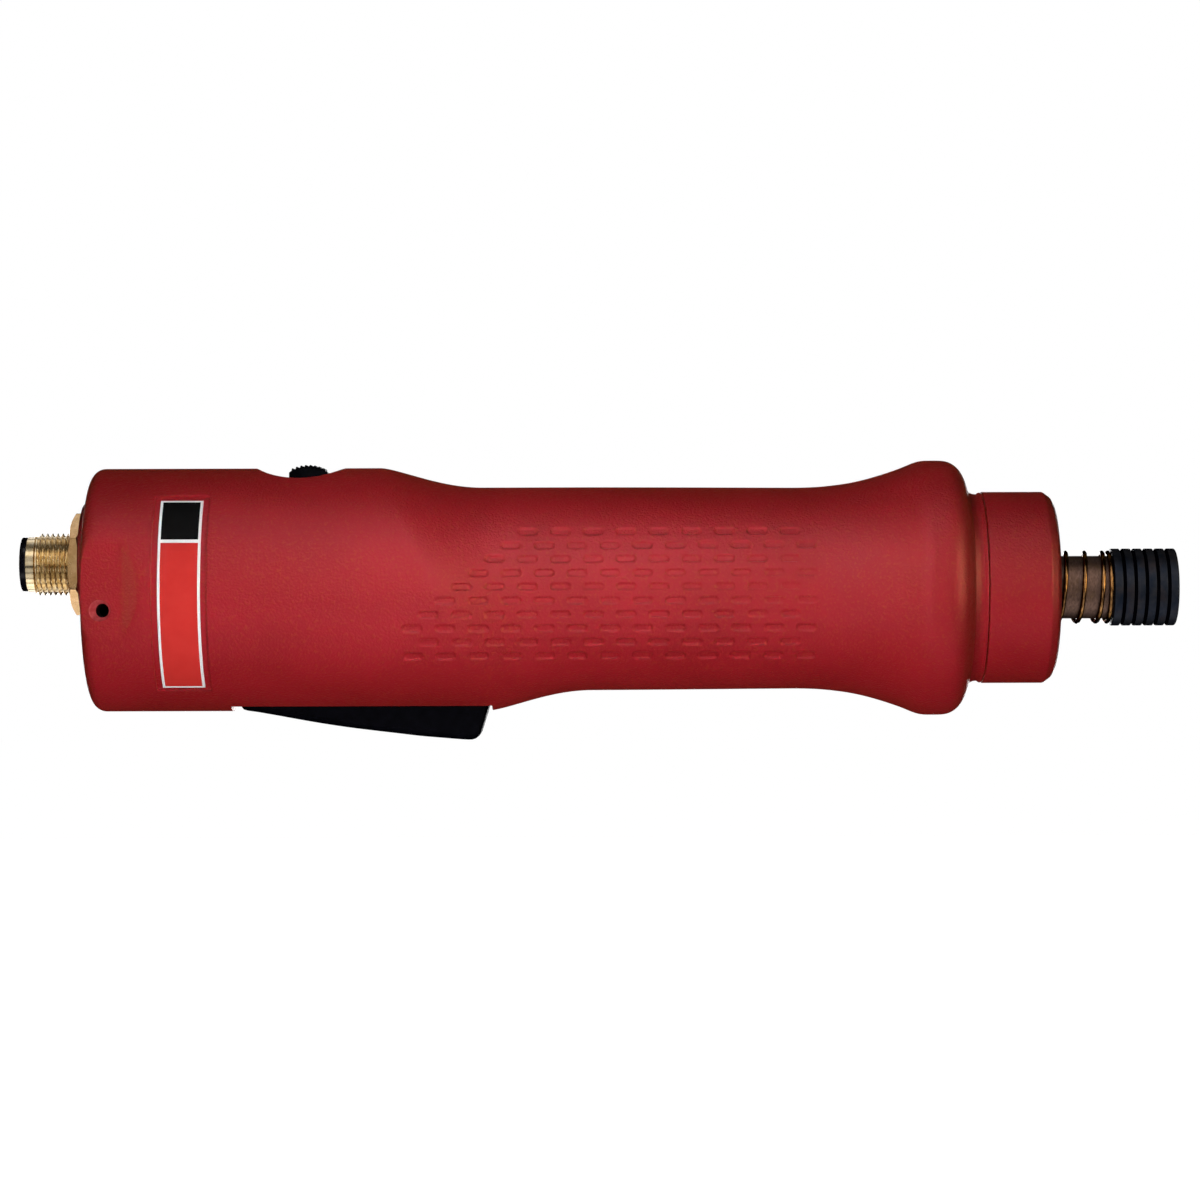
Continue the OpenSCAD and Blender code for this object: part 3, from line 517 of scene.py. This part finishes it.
def shell_half(side):
    name = "housing_left_visual" if side < 0 else "housing_right_visual"
    # columns: (x, r) or (x, None) where the radius leans
    rear = fillet([(-207.5, 0.02), (-207.5, 23.3), (-200, 23.3)], [0, 2.4, 0], 9)
    cols = [p for p in split_long(rear[:-1], 1.6)]
    xs = list(np.arange(cols[-1][0] + 0.5, -194.6, 0.55)) + [-194.45, -194.2, -194.06, -193.98, -193.9, -193.6]
    xs += list(np.linspace(-193.2, -184.3, 14)) + [-184.0, -183.8, -183.72, -183.64, -183.5, -183.2]
    xs += list(np.arange(-182.6, -153.2, 0.8)) + list(np.arange(-152.6, -151.2, 0.4)) + list(np.arange(-150.9, -113.0, 0.26))
    cols += [(x, None) for x in xs]
    front = spline(FRONT, 0.26)
    cols += [p for p in front if p[0] > -112.9]
    cols += GROOVE[1:]
    # rows: angles from the top, denser over the dimples and at the seams and the recess edges
    near = [0, 0.25, 0.55, 0.95, 1.6]
    rows = near + list(np.arange(3.2, 40, 1.6)) + [40.35, 40.5, 40.62, 40.75, 41.0] + list(np.arange(41.9, 52, 1.2))
    rows += list(np.arange(52.5, 137.5, 0.62)) + list(np.arange(138.2, 144.2, 1.2)) + [144.55, 144.75, 144.9, 145.02, 145.2]
    rows += list(np.arange(146.4, 177, 1.6)) + [180 - v for v in near[::-1]]
    A = np.radians(np.array(rows))[None, :]
    m, n = len(cols), len(rows)
    X = np.array([c[0] for c in cols])[:, None] * np.ones((1, n))
    R = np.zeros((m, n))
    for i, c in enumerate(cols):
        R[i] = lean_r(c[0], A[0]) if c[1] is None else c[1]
    outer = (X[:, :] < -37.45)
    live = outer & (R > 17.5)
    # parting line: a fine V where the halves meet
    arc = np.minimum(A, math.pi - A) * R
    R = R - np.where(live, 0.22 * np.clip(1 - arc / 0.32, 0, 1), 0)
    # recess for the plate, left half only
    if side < 0:
        e = 90 - np.degrees(A) * np.ones((m, 1))
        dx = np.minimum(X + 194.0, -183.68 - X)
        da = np.minimum(49.4 - e, e + 54.9) * math.radians(1) * 23.3
        inside = s3((np.minimum(dx, da) + 0.05) / 0.10)
        R = R - 0.6 * inside * live
    Y0, Z0 = R * np.sin(A), R * np.cos(A)
    dim = (X > -153) & (X < -66)
    R = R - np.where(dim & live, dimple_depth(X, Z0), 0)
    Y, Z = R * np.sin(A), R * np.cos(A)
    # flat for the bail, run out softly
    f = np.where(X < -199.6, 21.5, 21.5 + (X + 199.6) / 3.4 * 1.95)
    k = 0.35
    h = np.clip(0.5 + 0.5 * (f - Y) / k, 0, 1)
    Ys = f * (1 - h) + Y * h - k * h * (1 - h)
    Y = np.where((X < -194.8) & (Y > 15), np.minimum(Y, Ys), Y)
    V = np.stack([X, side * Y, Z], -1).reshape(-1, 3)
    F = []
    for i in range(m - 1):
        a, b = i * n, (i + 1) * n
        for j in range(n - 1):
            F.append((a + j, a + j + 1, b + j + 1, b + j))
        F.append((a, b, b + n - 1, a + n - 1))
    F.append(tuple(range(n))); F.append(tuple((m - 1) * n + j for j in range(n)))
    ob = make(name, V, F, (RED,))
    # seam points exactly on the middle plane
    for v in ob.data.vertices:
        if abs(v.co.y) < 2e-6: v.co.y = 0
    recalc(ob)
    return ob


def ycyl(name, x, z, r, y0, y1, n=48, r2=None):
    th = np.arange(n) * 2 * math.pi / n
    V = [(x + r * math.cos(t), y0, z + r * math.sin(t)) for t in th] + [(x + (r2 or r) * math.cos(t), y1, z + (r2 or r) * math.sin(t)) for t in th]
    F = [(k, (k + 1) % n, n + (k + 1) % n, n + k) for k in range(n)] + [tuple(range(n - 1, -1, -1)), tuple(range(n, 2 * n))]
    ob = make(name, V, F); recalc(ob)
    return ob


def cavity():
    prof = [(-205, 0.0), (-205, 18.3), (-195.5, 18.3), (-195, 20.8), (-153, 20.8), (-140, 17), (-135, 17), (-135, 16.6), (-63, 16.6),
            (-63, 17), (-60, 17), (-56.5, 20), (-46, 20), (-43, 17), (-37.6, 17), (-37.6, 10.5), (-35.6, 10.5), (-35.6, 12.02),
            (-29, 12.02), (-29, 0.0)]
    c = lathe("cavity", prof, n=96)
    boolean(c, rounded_box("t", (-178, -12, 19.2), (-157, 12, 24), 0.5))
    boolean(c, rounded_box("t", (-146.8, -20, -9), (-137, 20, -7.4), 0.3))
    for x, z in ((-199.5, 14.5), (-199.5, -13.5), (-146, 14.6)):
        boolean(c, ycyl("t", x, z, 3.4, -21, 21))
    for s in (-1, 1):
        boolean(c, ycyl("t", -203.3, -3.85, 3.2, s * 13.8, s * 21))
        boolean(c, ycyl("t", -177, -19.3, 3, s * 6.85, s * 16))
    return c


def grip():
    cav = cavity()
    halves = []
    for side in (-1, 1):
        ob = shell_half(side)
        boss = lathe("boss", fillet([(-206.5, 0.0), (-206.5, 11.9), (-209.4, 11.9), (-209.4, 0.0)], [0, 0, 0.8, 0], 12), n=120, z0=5)
        half = rounded_box("h", (-215, 0, -40) if side > 0 else (-215, -40, -40), (-200, 40, 40) if side > 0 else (-200, 0, 40), 0.1, "x")
        boolean(boss, half, "INTERSECT")
        boolean(ob, boss, "UNION")
        boolean(ob, cav, keep=True)
        for s in (side,):
            boolean(ob, ycyl("t", -203.3, -3.85, 1.3, s * 14.6, s * 24))
            boolean(ob, ycyl("t", -203.75, -3.85, 0.9, s * 20.2, s * 21.9, r2=2.36))
        boolean(ob, lathe("t", [(-211, 0), (-211, 6), (-204, 6), (-204, 0)], n=96, z0=5))
        boolean(ob, ycyl("t", -167.6, 39.86, 18.66, -14, 14, n=320))
        boolean(ob, rounded_box("t", (-172.9, -4.3, 18), (-162.3, 4.3, 25), 0.8, "z"))
        boolean(ob, rounded_box("t", (-180.8, -6.85, -26), (-131, 6.85, -17.2), 0.5, "z"))
        boolean(ob, rounded_box("t", (-180.8, -6.85, -18), (-134.5, 6.85, -12), 0.5, "z"))
        boolean(ob, ycyl("t", -177, -19.3, 1.25, -11.02, 11.02))
        for x, z, y1, y0 in ((-199.5, 14.5, 9.2, -9.5), (-199.5, -13.5, 9.2, -9.5), (-146, 14.6, 8, -8.5), (-127, -18.4, 6.5, -8.5)):
            boolean(ob, ycyl("t", x, z, 1.55, y0, y1 + 0.01))
            if side > 0:
                boolean(ob, ycyl("t", x, z, 2.9, y1, 24, n=64))
        # the walls of the bail hole get a near-black colour (painted shade in the deep hole), and the chamfer round its
        # mouth a lighter pink (a painted highlight)
        ob.data.materials.append(HOLE_SHADE)
        ob.data.materials.append(CHAMFER_HIGHLIGHT)
        dark = len(ob.data.materials) - 2
        for f in ob.data.polygons:
            c = f.center / U
            wall = abs(f.normal.y) < 0.2 or abs(c.y) < 18
            if wall and math.hypot(c.x + 203.3, c.z + 3.85) < 1.31 and 14.5 < abs(c.y) < 21.47: f.material_index = dark
            # the chamfer ring round the hole gets the lighter pink: painted highlight
            elif math.hypot(c.x + 203.75, c.z + 3.85) < 2.06 and 20.15 < abs(c.y) < 21.47: f.material_index = dark + 1
        smooth(ob, 32)
        halves.append(ob)
    drop(cav)
    return halves


left, right = grip()
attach(left, "housing"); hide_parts("housing_left")
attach(right, "housing"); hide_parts("housing_right")

# ---------------------------------------------------------------- nose cap
cap = lathe("nose_cap_visual", split_long(fillet(
    [(-37.2, 15.55), (-37.2, 18.35), (-25.5, 18.35), (-24.15, 17.35), (-23.5, 16.0), (-23.5, 9.6), (-24.0, 9.0), (-25.5, 9.0), (-25.5, 11.0),
     (-29.4, 11.0), (-29.4, 15.55), (-37.2, 15.55)],
    [0, 0.22, 0.9, 0.9, 1.2, 0.15, 0.15, 0.1, 0.1, 0.1, 0.1, 0], 8)[:-1], 1.5), (REDCAP,), n=192, closed=True, sharp=40)
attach(cap, "housing"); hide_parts("nose_cap")

# --------------------------------------------------------------- the plate
def plate():
    """A bare, white-edged plate with plain colour fields; no lettering or sign on it."""
    x0, x1 = -192.85, -184.85
    e0, e1 = -53.4, 46.7
    ro, ri = 23.02, 22.72
    mm = math.degrees(1 / ro)                                     # degrees of arc for 1 mm
    cx = [x0, x0 + 0.06, x0 + 0.5] + list(np.linspace(x0 + 1.5, x1 - 1.5, 6)) + [x1 - 0.5, x1 - 0.06, x1]
    top = e1 - 0.5 * mm
    low = e0 + 0.5 * mm
    block, field = 24.0, 22.3                                      # lower edge of the black field, upper edge of the red one
    edges = {e0, e0 + 0.06 * mm, e1 - 0.06 * mm, e1, top, low, block, field}
    ce = sorted(edges)
    fine = []
    for a, b in zip(ce, ce[1:]):
        k = max(1, int((b - a) / 1.6))
        fine += [a + (b - a) * j / k for j in range(k)]
    ce = fine + [ce[-1]]
    V, F, M = [], [], []
    m, n = len(cx), len(ce)
    for x in cx:
        for e in ce:
            rim = x in (x0, x1) or e in (ce[0], ce[-1])
            r = ro - (0.05 if rim else 0)
            V.append((x, -r * math.cos(math.radians(e)), r * math.sin(math.radians(e))))
    for i in range(m - 1):
        for j in range(n - 1):
            F.append((i * n + j, (i + 1) * n + j, (i + 1) * n + j + 1, i * n + j + 1))
            x, e = (cx[i] + cx[i + 1]) / 2, (ce[j] + ce[j + 1]) / 2
            inx = x0 + 0.5 < x < x1 - 0.5
            if inx and block < e < top: M.append(2)
            elif inx and low < e < field: M.append(1)
            else: M.append(0)
    # sides and back
    k0 = len(V)
    for x in cx:
        for e in ce:
            V.append((x, -ri * math.cos(math.radians(e)), ri * math.sin(math.radians(e))))
    for i in range(m - 1):
        for j in range(n - 1):
            F.append((k0 + i * n + j, k0 + i * n + j + 1, k0 + (i + 1) * n + j + 1, k0 + (i + 1) * n + j)); M.append(0)
    for i in range(m - 1):
        for j in (0, n - 1):
            a, b = i * n + j, (i + 1) * n + j
            F.append((a, b, k0 + b, k0 + a)); M.append(0)
    for j in range(n - 1):
        for i in (0, m - 1):
            a, b = i * n + j, i * n + j + 1
            F.append((a, b, k0 + b, k0 + a)); M.append(0)
    ob = make("label_plate_visual", V, F, (LWHITE, LRED, LBLACK), M, sharp=30)
    recalc(ob)
    return ob


lab = plate()
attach(lab, "housing"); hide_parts("label_plate")

# ------------------------------------------------------------------- lever
LOWER = [(-178.9, -22.2), (-178.5, -22.8), (-175.4, -23.4), (-172.3, -23.95), (-167.7, -24.8), (-163.1, -25.6), (-158.5, -26.3), (-153.8, -26.9),
         (-149.2, -27.45), (-144.6, -28.0), (-140, -28.4), (-136.9, -28.66)]


def lever():
    low = spline(LOWER, 0.8)
    out = low + [(-135.6, -28.74), (-134.8, -28.72), (-134.1, -28.5), (-133.55, -28.05), (-133.2, -27.45), (-132.95, -26.75), (-132.4, -25.0), (-131.75, -22.9), (-131.6, -22.2),
                 (-131.75, -21.85), (-134, -21.8), (-147, -20.7), (-160, -19.6), (-170, -18.2), (-174, -17.6), (-175.5, -17.15), (-177.4, -17.1), (-178.6, -17.7), (-179.0, -18.9), (-179.0, -20.6)]
    P = np.array(out)
    m = len(P)
    # inward direction of each point of the outline
    nxt, prv = np.roll(P, -1, 0), np.roll(P, 1, 0)
    T = nxt - prv; T /= np.linalg.norm(T, axis=1)[:, None]
    N = np.stack([-T[:, 1], T[:, 0]], 1)
    c = P.mean(0)
    if ((c - P) * N).sum() < 0: N = -N
    N[(P[:, 1] > -22.6) & (P[:, 0] > -176)] = 0
    # rounded sides: the outline shrinks over the last millimetre
    layers = []
    W, r = 6.6, 1.1
    for k in range(8):
        a = math.pi / 2 * k / 7
        layers.append((-(W - r + r * math.cos(a)), r - r * math.sin(a)))
    layers += [(-4.2, 0), (-2.1, -0.0), (0, 0), (2.1, 0), (4.2, 0)]
    layers += [(-y, s) for y, s in layers[:8][::-1]]
    V = []
    for y, s in layers:
        crown = 0.0
        for q in range(m):
            p = P[q] + N[q] * s
            V.append((p[0], y, p[1] + crown))
    F = [tuple(range(m)), tuple((len(layers) - 1) * m + q for q in range(m))]
    for L in range(len(layers) - 1):
        F += [(L * m + q, L * m + (q + 1) % m, (L + 1) * m + (q + 1) % m, (L + 1) * m + q) for q in range(m)]
    ob = make("lever_visual", V, F, (BLACK,)); recalc(ob)
    boolean(ob, rounded_box("t", (-161.8, -3, -21), (-158.5, 3, -12.65), 0.3), "UNION")
    boolean(ob, ycyl("t", -177, -19.3, 1.3, -8, 8))
    t = lathe("t", [(0, 0), (0, 3.4), (7, 3.4), (7, 0)], n=48)
    t.data.transform(Matrix.Translation((-143 * U, 0, -23 * U)) @ Matrix.Rotation(-math.pi / 2, 4, "Y"))
    boolean(ob, t)
    smooth(ob, 32)
    return ob


lev = lever()
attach(lev, "lever"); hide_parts("lever")

# ------------------------------------------------------------ reverse slide
def knob():
    cx, cz, R = -166.15, 16.53, 7.1
    pts = [(-162.5, 18.2)]
    top = []
    for i in range(8):
        a0 = (3.5 - i) * 7.0
        for da, rr in ((2.9, 0.0), (2.0, 0.08), (1.2, 0.26), (0.5, 0.33), (-0.5, 0.33), (-1.2, 0.26), (-2.0, 0.08), (-2.9, 0.0)):
            a = math.radians(a0 + da)
            top.append((cx + (R - 0.12 + rr * 1.05) * math.sin(a), cz + (R - 0.12 + rr * 1.05) * math.cos(a)))
    pts += [(-162.5, 22.4)] + [p for p in top if -169.75 < p[0] < -162.55] + [(-169.8, 22.4), (-169.8, 18.2)]
    layers = [(-4.0, 0.35), (-3.9, 0.12), (-3.65, 0.0)]
    layers = layers + [(y, 0) for y in (-1.8, 0, 1.8)] + [(-y, s) for y, s in layers[::-1]]
    P = np.array(pts); c = np.array([cx, 20.5]); m = len(P)
    V = []
    for y, s in layers:
        for p in P:
            d = c - p; L = np.linalg.norm(d)
            q = p + d / L * s
            V.append((q[0], y, q[1]))
    F = [tuple(range(m)), tuple((len(layers) - 1) * m + q for q in range(m))]
    for L in range(len(layers) - 1):
        F += [(L * m + q, L * m + (q + 1) % m, (L + 1) * m + (q + 1) % m, (L + 1) * m + q) for q in range(m)]
    ob = make("reverse_knob_visual", V, F, (BLACK,)); recalc(ob)
    boolean(ob, rounded_box("t", (-174.2, -6, 17.9), (-159.4, 6, 18.9), 0.4, "z"), "UNION")
    for x in (-169, -164.9):
        boolean(ob, rounded_box("t", (x, -1.5, 15), (x + 1.2, 1.5, 18.1), 0.2), "UNION")
    smooth(ob, 40)
    return ob


kn = knob()
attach(kn, "reverse_slide"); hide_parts("reverse_knob")

# --------------------------------------------------------------- connector
def thread(X, TH):
    """M12x1: a helical ridge on the outside, run out at its front end."""
    on = (X < -211.2) & (X > -218.5)
    ph = (X - TH / (2 * math.pi)) % 1.0
    tri = 1 - np.abs(ph - 0.5) * 2                     # 0 root .. 1 crest
    ridge = np.clip((tri - 0.05) / 0.88, 0, 1)
    fade = np.clip((X + 218.5) / 0.5, 0, 1)
    depth = 0.66
    return np.where(on, -depth * (1 - ridge) - depth * ridge * (1 - fade) * 0.9, 0)


prof = [(-220.2, 4.7), (-220.2, 5.12), (-220.08, 5.25), (-219.2, 5.25), (-218.62, 5.25)]
prof += [(x, 5.94) for x in np.arange(-218.5, -211.35, 0.0625)]
prof += [(-211.3, 5.70), (-204.2, 5.70), (-204.2, 7.85), (-204.05, 8.0), (-202.85, 8.0), (-202.7, 7.85), (-202.7, 4.7)]
shell = lathe("connector_shell_visual", prof, (NICKEL,), n=96, z0=5, closed=True, sharp=42, wobble=lambda X, T: np.where(np.isclose(np.broadcast_to(np.array([p[1] for p in prof])[:, None], X.shape), 5.94), thread(X, T), 0))
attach(shell, "housing"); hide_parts("connector_shell")


def hex_nut():
    R = 17 / math.sqrt(3)
    pts = []
    for k in range(6):
        a = math.radians(60 * k + 90)
        for d in (-1.1, 0, 1.1):
            b = a + math.radians(d)
            rr = R * math.cos(math.radians(30)) / math.cos(math.radians(30 - abs(d)))
            pts.append((min(rr, R - 0.03) * math.cos(b), 5 + min(rr, R - 0.03) * math.sin(b)))
    ob = extrude("connector_nut_visual", pts, -211.6, -209.4, "x", (NUTM,)); recalc(ob)
    dome = lathe("t", split_long(fillet([(-211.6, 0.0), (-211.6, 8.35), (-210.98, R + 0.05), (-210.02, R + 0.05), (-209.4, 8.35), (-209.4, 0.0)], [0, 0.15, 0.2, 0.2, 0.15, 0], 15), 2), n=144, z0=5)
    boolean(ob, dome, "INTERSECT")
    boolean(ob, lathe("t", [(-213, 0), (-213, 6.6), (-211.6, 6.6), (-211.0, 5.72), (-210.0, 5.72), (-209.4, 6.4), (-208, 6.4), (-208, 0)], n=96, z0=5))
    smooth(ob, 25)
    return ob


nut = hex_nut()
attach(nut, "housing"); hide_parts("connector_nut")

ins = lathe("connector_insert_visual", fillet(
    [(-202, 0.0), (-202, 4.66), (-220.19, 4.66), (-220.19, 5.17), (-221.3, 5.17), (-221.3, 4.2), (-213.5, 4.2), (-213.0, 3.7), (-213.0, 0.0)],
    [0, 0.2, 0, 0.05, 0.16, 0.12, 0.1, 0.1, 0], 15), (INSERT,), n=96, z0=5, sharp=35)
boolean(ins, rounded_box("t", (-220.6, -0.5, 8.3), (-212.9, 0.5, 9.5), 0.2, "x"), "UNION")
for k in range(5):
    a = math.radians(45 + 90 * k)
    y, z = (0, 5) if k == 4 else (2.5 * math.cos(a), 5 + 2.5 * math.sin(a))
    boolean(ins, lathe("t", [(-214.5, 0), (-214.5, 0.5), (-200, 0.5), (-200, 0)], n=24, y0=y, z0=z))
smooth(ins, 32)
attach(ins, "housing"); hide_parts("connector_insert")

# ------------------------------------------------------- spindle and chuck
def spindle():
    prof = fillet([(-62.2, 0.0), (-62.2, 2.5), (-58.5, 2.5), (-58.5, 6.0), (-28.3, 6.0), (-28.3, 5.6), (-27.25, 5.6), (-27.25, 6.0), (-4.95, 6.0), (-4.95, 5.5),
                   (-4.05, 5.5), (-4.05, 6.0), (0.0, 6.0), (0.0, 3.85), (-0.45, 3.3), (-0.45, 0.0)],
                  [0, 0.2, 0, 0.2, 0, 0, 0, 0.1, 0.1, 0, 0, 0.1, 0.35, 0.1, 0, 0], 12)
    ob = lathe("spindle_visual", split_long(prof, 1.0), (SPINDLE,), n=128)
    pts = [(6.45 / math.sqrt(3) * math.cos(math.radians(60 * k + 90)), 6.45 / math.sqrt(3) * math.sin(math.radians(60 * k + 90))) for k in range(6)]
    boolean(ob, extrude("t", pts, -16, 1, "x"))
    for s in (-1, 1):
        boolean(ob, ycyl("t", -6.5, 0, 1.22, s * 2.2, s * 8))
    smooth(ob, 30)
    return ob


sp = spindle()
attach(sp, "spindle"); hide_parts("spindle")


def sleeve():
    pts, rad = [(-12.3, 6.1)], [0]
    pts += [(-12.3, 7.4)]; rad += [0.22]
    for k in range(5):
        x = -10.4 + k * 2.125
        pts += [(x - 0.34, 7.4), (x - 0.25, 7.0), (x + 0.25, 7.0), (x + 0.34, 7.4)]
        rad += [0.1, 0.06, 0.06, 0.1]
    pts += [(0, 7.4), (0, 6.78), (-5, 6.75), (-5, 6.1), (-12.3, 6.1)]
    rad += [0.4, 0.1, 0.05, 0.1, 0]
    prof = split_long(fillet(pts, rad, 15)[:-1], 1.0)
    ob = lathe("chuck_sleeve_visual", prof, (SLEEVE, GROOVE_SHADE), n=160, closed=True, sharp=45)
    for f in ob.data.polygons:                                    # the turned grooves get a near-black colour: painted shade in the recesses
        c = f.center / U
        if 6.9 < math.hypot(c.y, c.z) < 7.33 and -11.5 < c.x < -1.2: f.material_index = 1
    return ob


sl = sleeve()
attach(sl, "chuck_sleeve"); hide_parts("chuck_sleeve")


def chuck_spring():
    halves = [-12.78, -12.99, -13.9, -15.15, -17.25, -18.8, -20.85, -22.5, -24.2, -25.5, -26.3, -26.72, -26.8]
    t = np.linspace(0, len(halves) - 1, 24 * (len(halves) - 1) // 2 + 1)
    pos = np.array([p[1] for p in spline([(i, h) for i, h in enumerate(halves)], 0.02)])
    tt = np.array([p[0] for p in spline([(i, h) for i, h in enumerate(halves)], 0.02)])
    x = np.interp(t, tt, pos)
    r = 6.60
    path = [(xx, -r * math.sin(math.pi * q), r * math.cos(math.pi * q)) for q, xx in zip(t, x)]
    return sweep("chuck_spring_visual", path, 0.45, 14, (SPRING,))


cs = chuck_spring()
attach(cs, "spindle"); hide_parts("chuck_spring")
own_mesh(cs)


def lever_spring():
    turns = 8
    t = np.linspace(0, turns, turns * 20 + 1)
    z = np.interp(t, [0, 0.8, turns - 0.8, turns], [-22.75, -22.2, -9.85, -9.27])
    return sweep("lever_spring_visual", [(-143 + 2.7 * math.cos(2 * math.pi * q), 2.7 * math.sin(2 * math.pi * q), zz) for q, zz in zip(t, z)], 0.25, 8, (STEEL,))


ls = lever_spring()
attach(ls, "housing"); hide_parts("lever_spring")
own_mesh(ls)



def torque_spring():
    lo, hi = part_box("torque_spring")
    a, b = lo[0] / U + 0.86, hi[0] / U - 0.86
    t = np.linspace(0, 4.5, 4 * 45 + 1)
    x = a + (b - a) * s3(t / 4.5) * 0.35 + (b - a) * 0.65 * t / 4.5
    return sweep("torque_spring_visual", [(xx, 8.9 * math.cos(2 * math.pi * q), 8.9 * math.sin(2 * math.pi * q)) for q, xx in zip(t, x)], 0.85, 16, (STEEL,))


ts = torque_spring()
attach(ts, "spindle"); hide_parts("torque_spring")
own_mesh(ts)

# ------------------------------------------------------------------- stage
sc = bpy.context.scene
cam = bpy.data.cameras.new("camera")
cam.lens = 111.0; cam.sensor_width = 36.0; cam.clip_start = 0.01; cam.clip_end = 20
co = bpy.data.objects.new("camera", cam)
sc.collection.objects.link(co)
co.location = (-0.11038, -0.7115, -0.00217)
co.rotation_mode = "XYZ"
co.rotation_euler = (math.radians(90), math.radians(0.18), 0)
sc.camera = co

floor = make("floor", [(-2500, -2500, 0), (2500, -2500, 0), (2500, 2500, 0), (-2500, 2500, 0)], [(0, 1, 2, 3)])
floor.location.z = -0.125
floor.visible_diffuse = False
floor.visible_glossy = False
floor.visible_shadow = False
fm = Mat("floor_white", rough=0.9, spec=0.1)
fm.b.inputs["Emission Color"].default_value = (1, 1, 1, 1)
fm.b.inputs["Emission Strength"].default_value = 1.0
fm.color(fm.mix(fm.map(fm.noise(3, 2), 0, 1, 0.3, 0.7), (0.86, 0.86, 0.86), (0.89, 0.89, 0.89)))
floor.data.materials.append(fm.m)


def area(name, loc, target, size, power, color=(1, 1, 1), kind="dg"):
    d = bpy.data.lights.new(name, "AREA")
    d.shape = "RECTANGLE"; d.size, d.size_y = size
    d.energy = power; d.color = color
    d.cycles.use_multiple_importance_sampling = "g" in kind
    o = bpy.data.objects.new(name, d)
    o.location = loc
    o.rotation_euler = (Vector(target) - Vector(loc)).to_track_quat("-Z", "Y").to_euler()
    o.visible_camera = False
    o.visible_diffuse = "d" in kind; o.visible_glossy = "g" in kind
    sc.collection.objects.link(o)
    return o


def front_of(angle, dist, x=-0.11):
    a = math.radians(angle)
    return (x, -dist * math.cos(a), dist * math.sin(a))


T = (-0.11, 0, 0)
T2, T3 = (-0.13, 0, 0), (-0.125, 0, 0)
area("low_fill", front_of(-50, 0.95), T, (1.6, 0.35), 4.71, kind="d")
area("low_sheen", front_of(-50, 0.95), T, (1.6, 0.35), 0.91, kind="g")
area("high_sheen", front_of(62, 0.95, -0.13), T2, (0.35, 0.28), 0.56, kind="g")
area("left_sheen", (-1.0, -0.55, 0.2), T, (0.5, 0.7), 2.6, (1.0, 0.86, 0.50), kind="g")
area("right_sheen", (0.75, -0.55, 0.2), T, (0.5, 0.7), 4.6, (1.0, 0.80, 0.40), kind="g")
area("right_fill", (0.75, -0.55, 0.2), T, (0.5, 0.7), 0.31, kind="d")
area("right_near", (0.33, -0.9, 0.25), T, (0.3, 0.5), 0.3, kind="g")
for ang, dif, glo in ((15, 0.178, 0.085), (40, 0.108, 0.068), (-20, 0.105, 0.055)):
    area("near_fill", front_of(ang, 0.22, -0.125), T3, (0.12, 0.10), dif, kind="d")
    area("near_sheen", front_of(ang, 0.22, -0.125), T3, (0.12, 0.10), glo, kind="g")
area("back", (-0.11, 1.2, 0.0), T, (1.2, 0.25), 8.0)

# soft strips that only the bright and dark metals mirror
bright = bpy.data.collections.new("metal_parts")
METALS = {m.name for m in (NICKEL, NUTM, GOLD, SPINDLE, SPRING, SLEEVE, STEEL, GEAR, SINTER, CLUTCH, LAMIN, COPPER, MAGNET)}
for o in bpy.data.objects:
    if o.type == "MESH" and any(q.material and q.material.name in METALS for q in o.material_slots):
        bright.objects.link(o)
dark = bpy.data.collections.new("dark_metal_parts")               # the springs and the sleeve mirror only what is in front
for o in bright.objects:
    if o.material_slots[0].material.name in (SPRING.name, SLEEVE.name, SPINDLE.name): dark.objects.link(o)
plainm = bpy.data.collections.new("bright_metal_parts")
for o in bright.objects:
    if o.name not in dark.objects: plainm.objects.link(o)
ring = [(5, 1.35), (26, 0.9), (46, 2.8), (62, 0.3), (-25, 1.05), (-50, 0.9), (-75, 3.2)]
for n, (ang, watt) in enumerate(ring):
    area("tent_front_%d" % n, front_of(ang, 0.9), T, (1.6, 0.3), watt).light_linking.receiver_collection = bright
for n, (ang, watt) in enumerate([(84, 0.25), (104, 1.0), (120, 1.9), (150, 2.4), (-100, 4.2), (-122, 3.0), (-150, 3.6)]):
    area("tent_back_%d" % n, front_of(ang, 0.9), T, (1.6, 0.3), watt).light_linking.receiver_collection = plainm
for n, (ang, watt) in enumerate([(120, 0.3), (-100, 1.8)]):
    area("tent_rim_%d" % n, front_of(ang, 0.9), T, (1.6, 0.3), watt).light_linking.receiver_collection = dark
area("tent_right", (0.75, -0.55, 0.1), T, (0.5, 0.7), 3.0, (1.0, 0.9, 0.7)).light_linking.receiver_collection = bright
area("tent_left", (-1.0, -0.45, 0.1), T, (0.5, 0.7), 0.35).light_linking.receiver_collection = bright

w = bpy.data.worlds.new("studio")
sc.world = w
w.use_nodes = True
nt = w.node_tree
bg = nt.nodes["Background"]
bg.inputs["Color"].default_value = (1, 1, 1, 1)
lp = nt.nodes.new("ShaderNodeLightPath")
mr = nt.nodes.new("ShaderNodeMapRange")
mr.inputs["To Min"].default_value = 0.0
mr.inputs["To Max"].default_value = 1.0
nt.links.new(lp.outputs["Is Camera Ray"], mr.inputs["Value"])
nt.links.new(mr.outputs["Result"], bg.inputs["Strength"])
sc.view_settings.view_transform = "Standard"
sc.view_settings.look = "None"
sc.view_settings.exposure = 0
sc.view_settings.gamma = 1
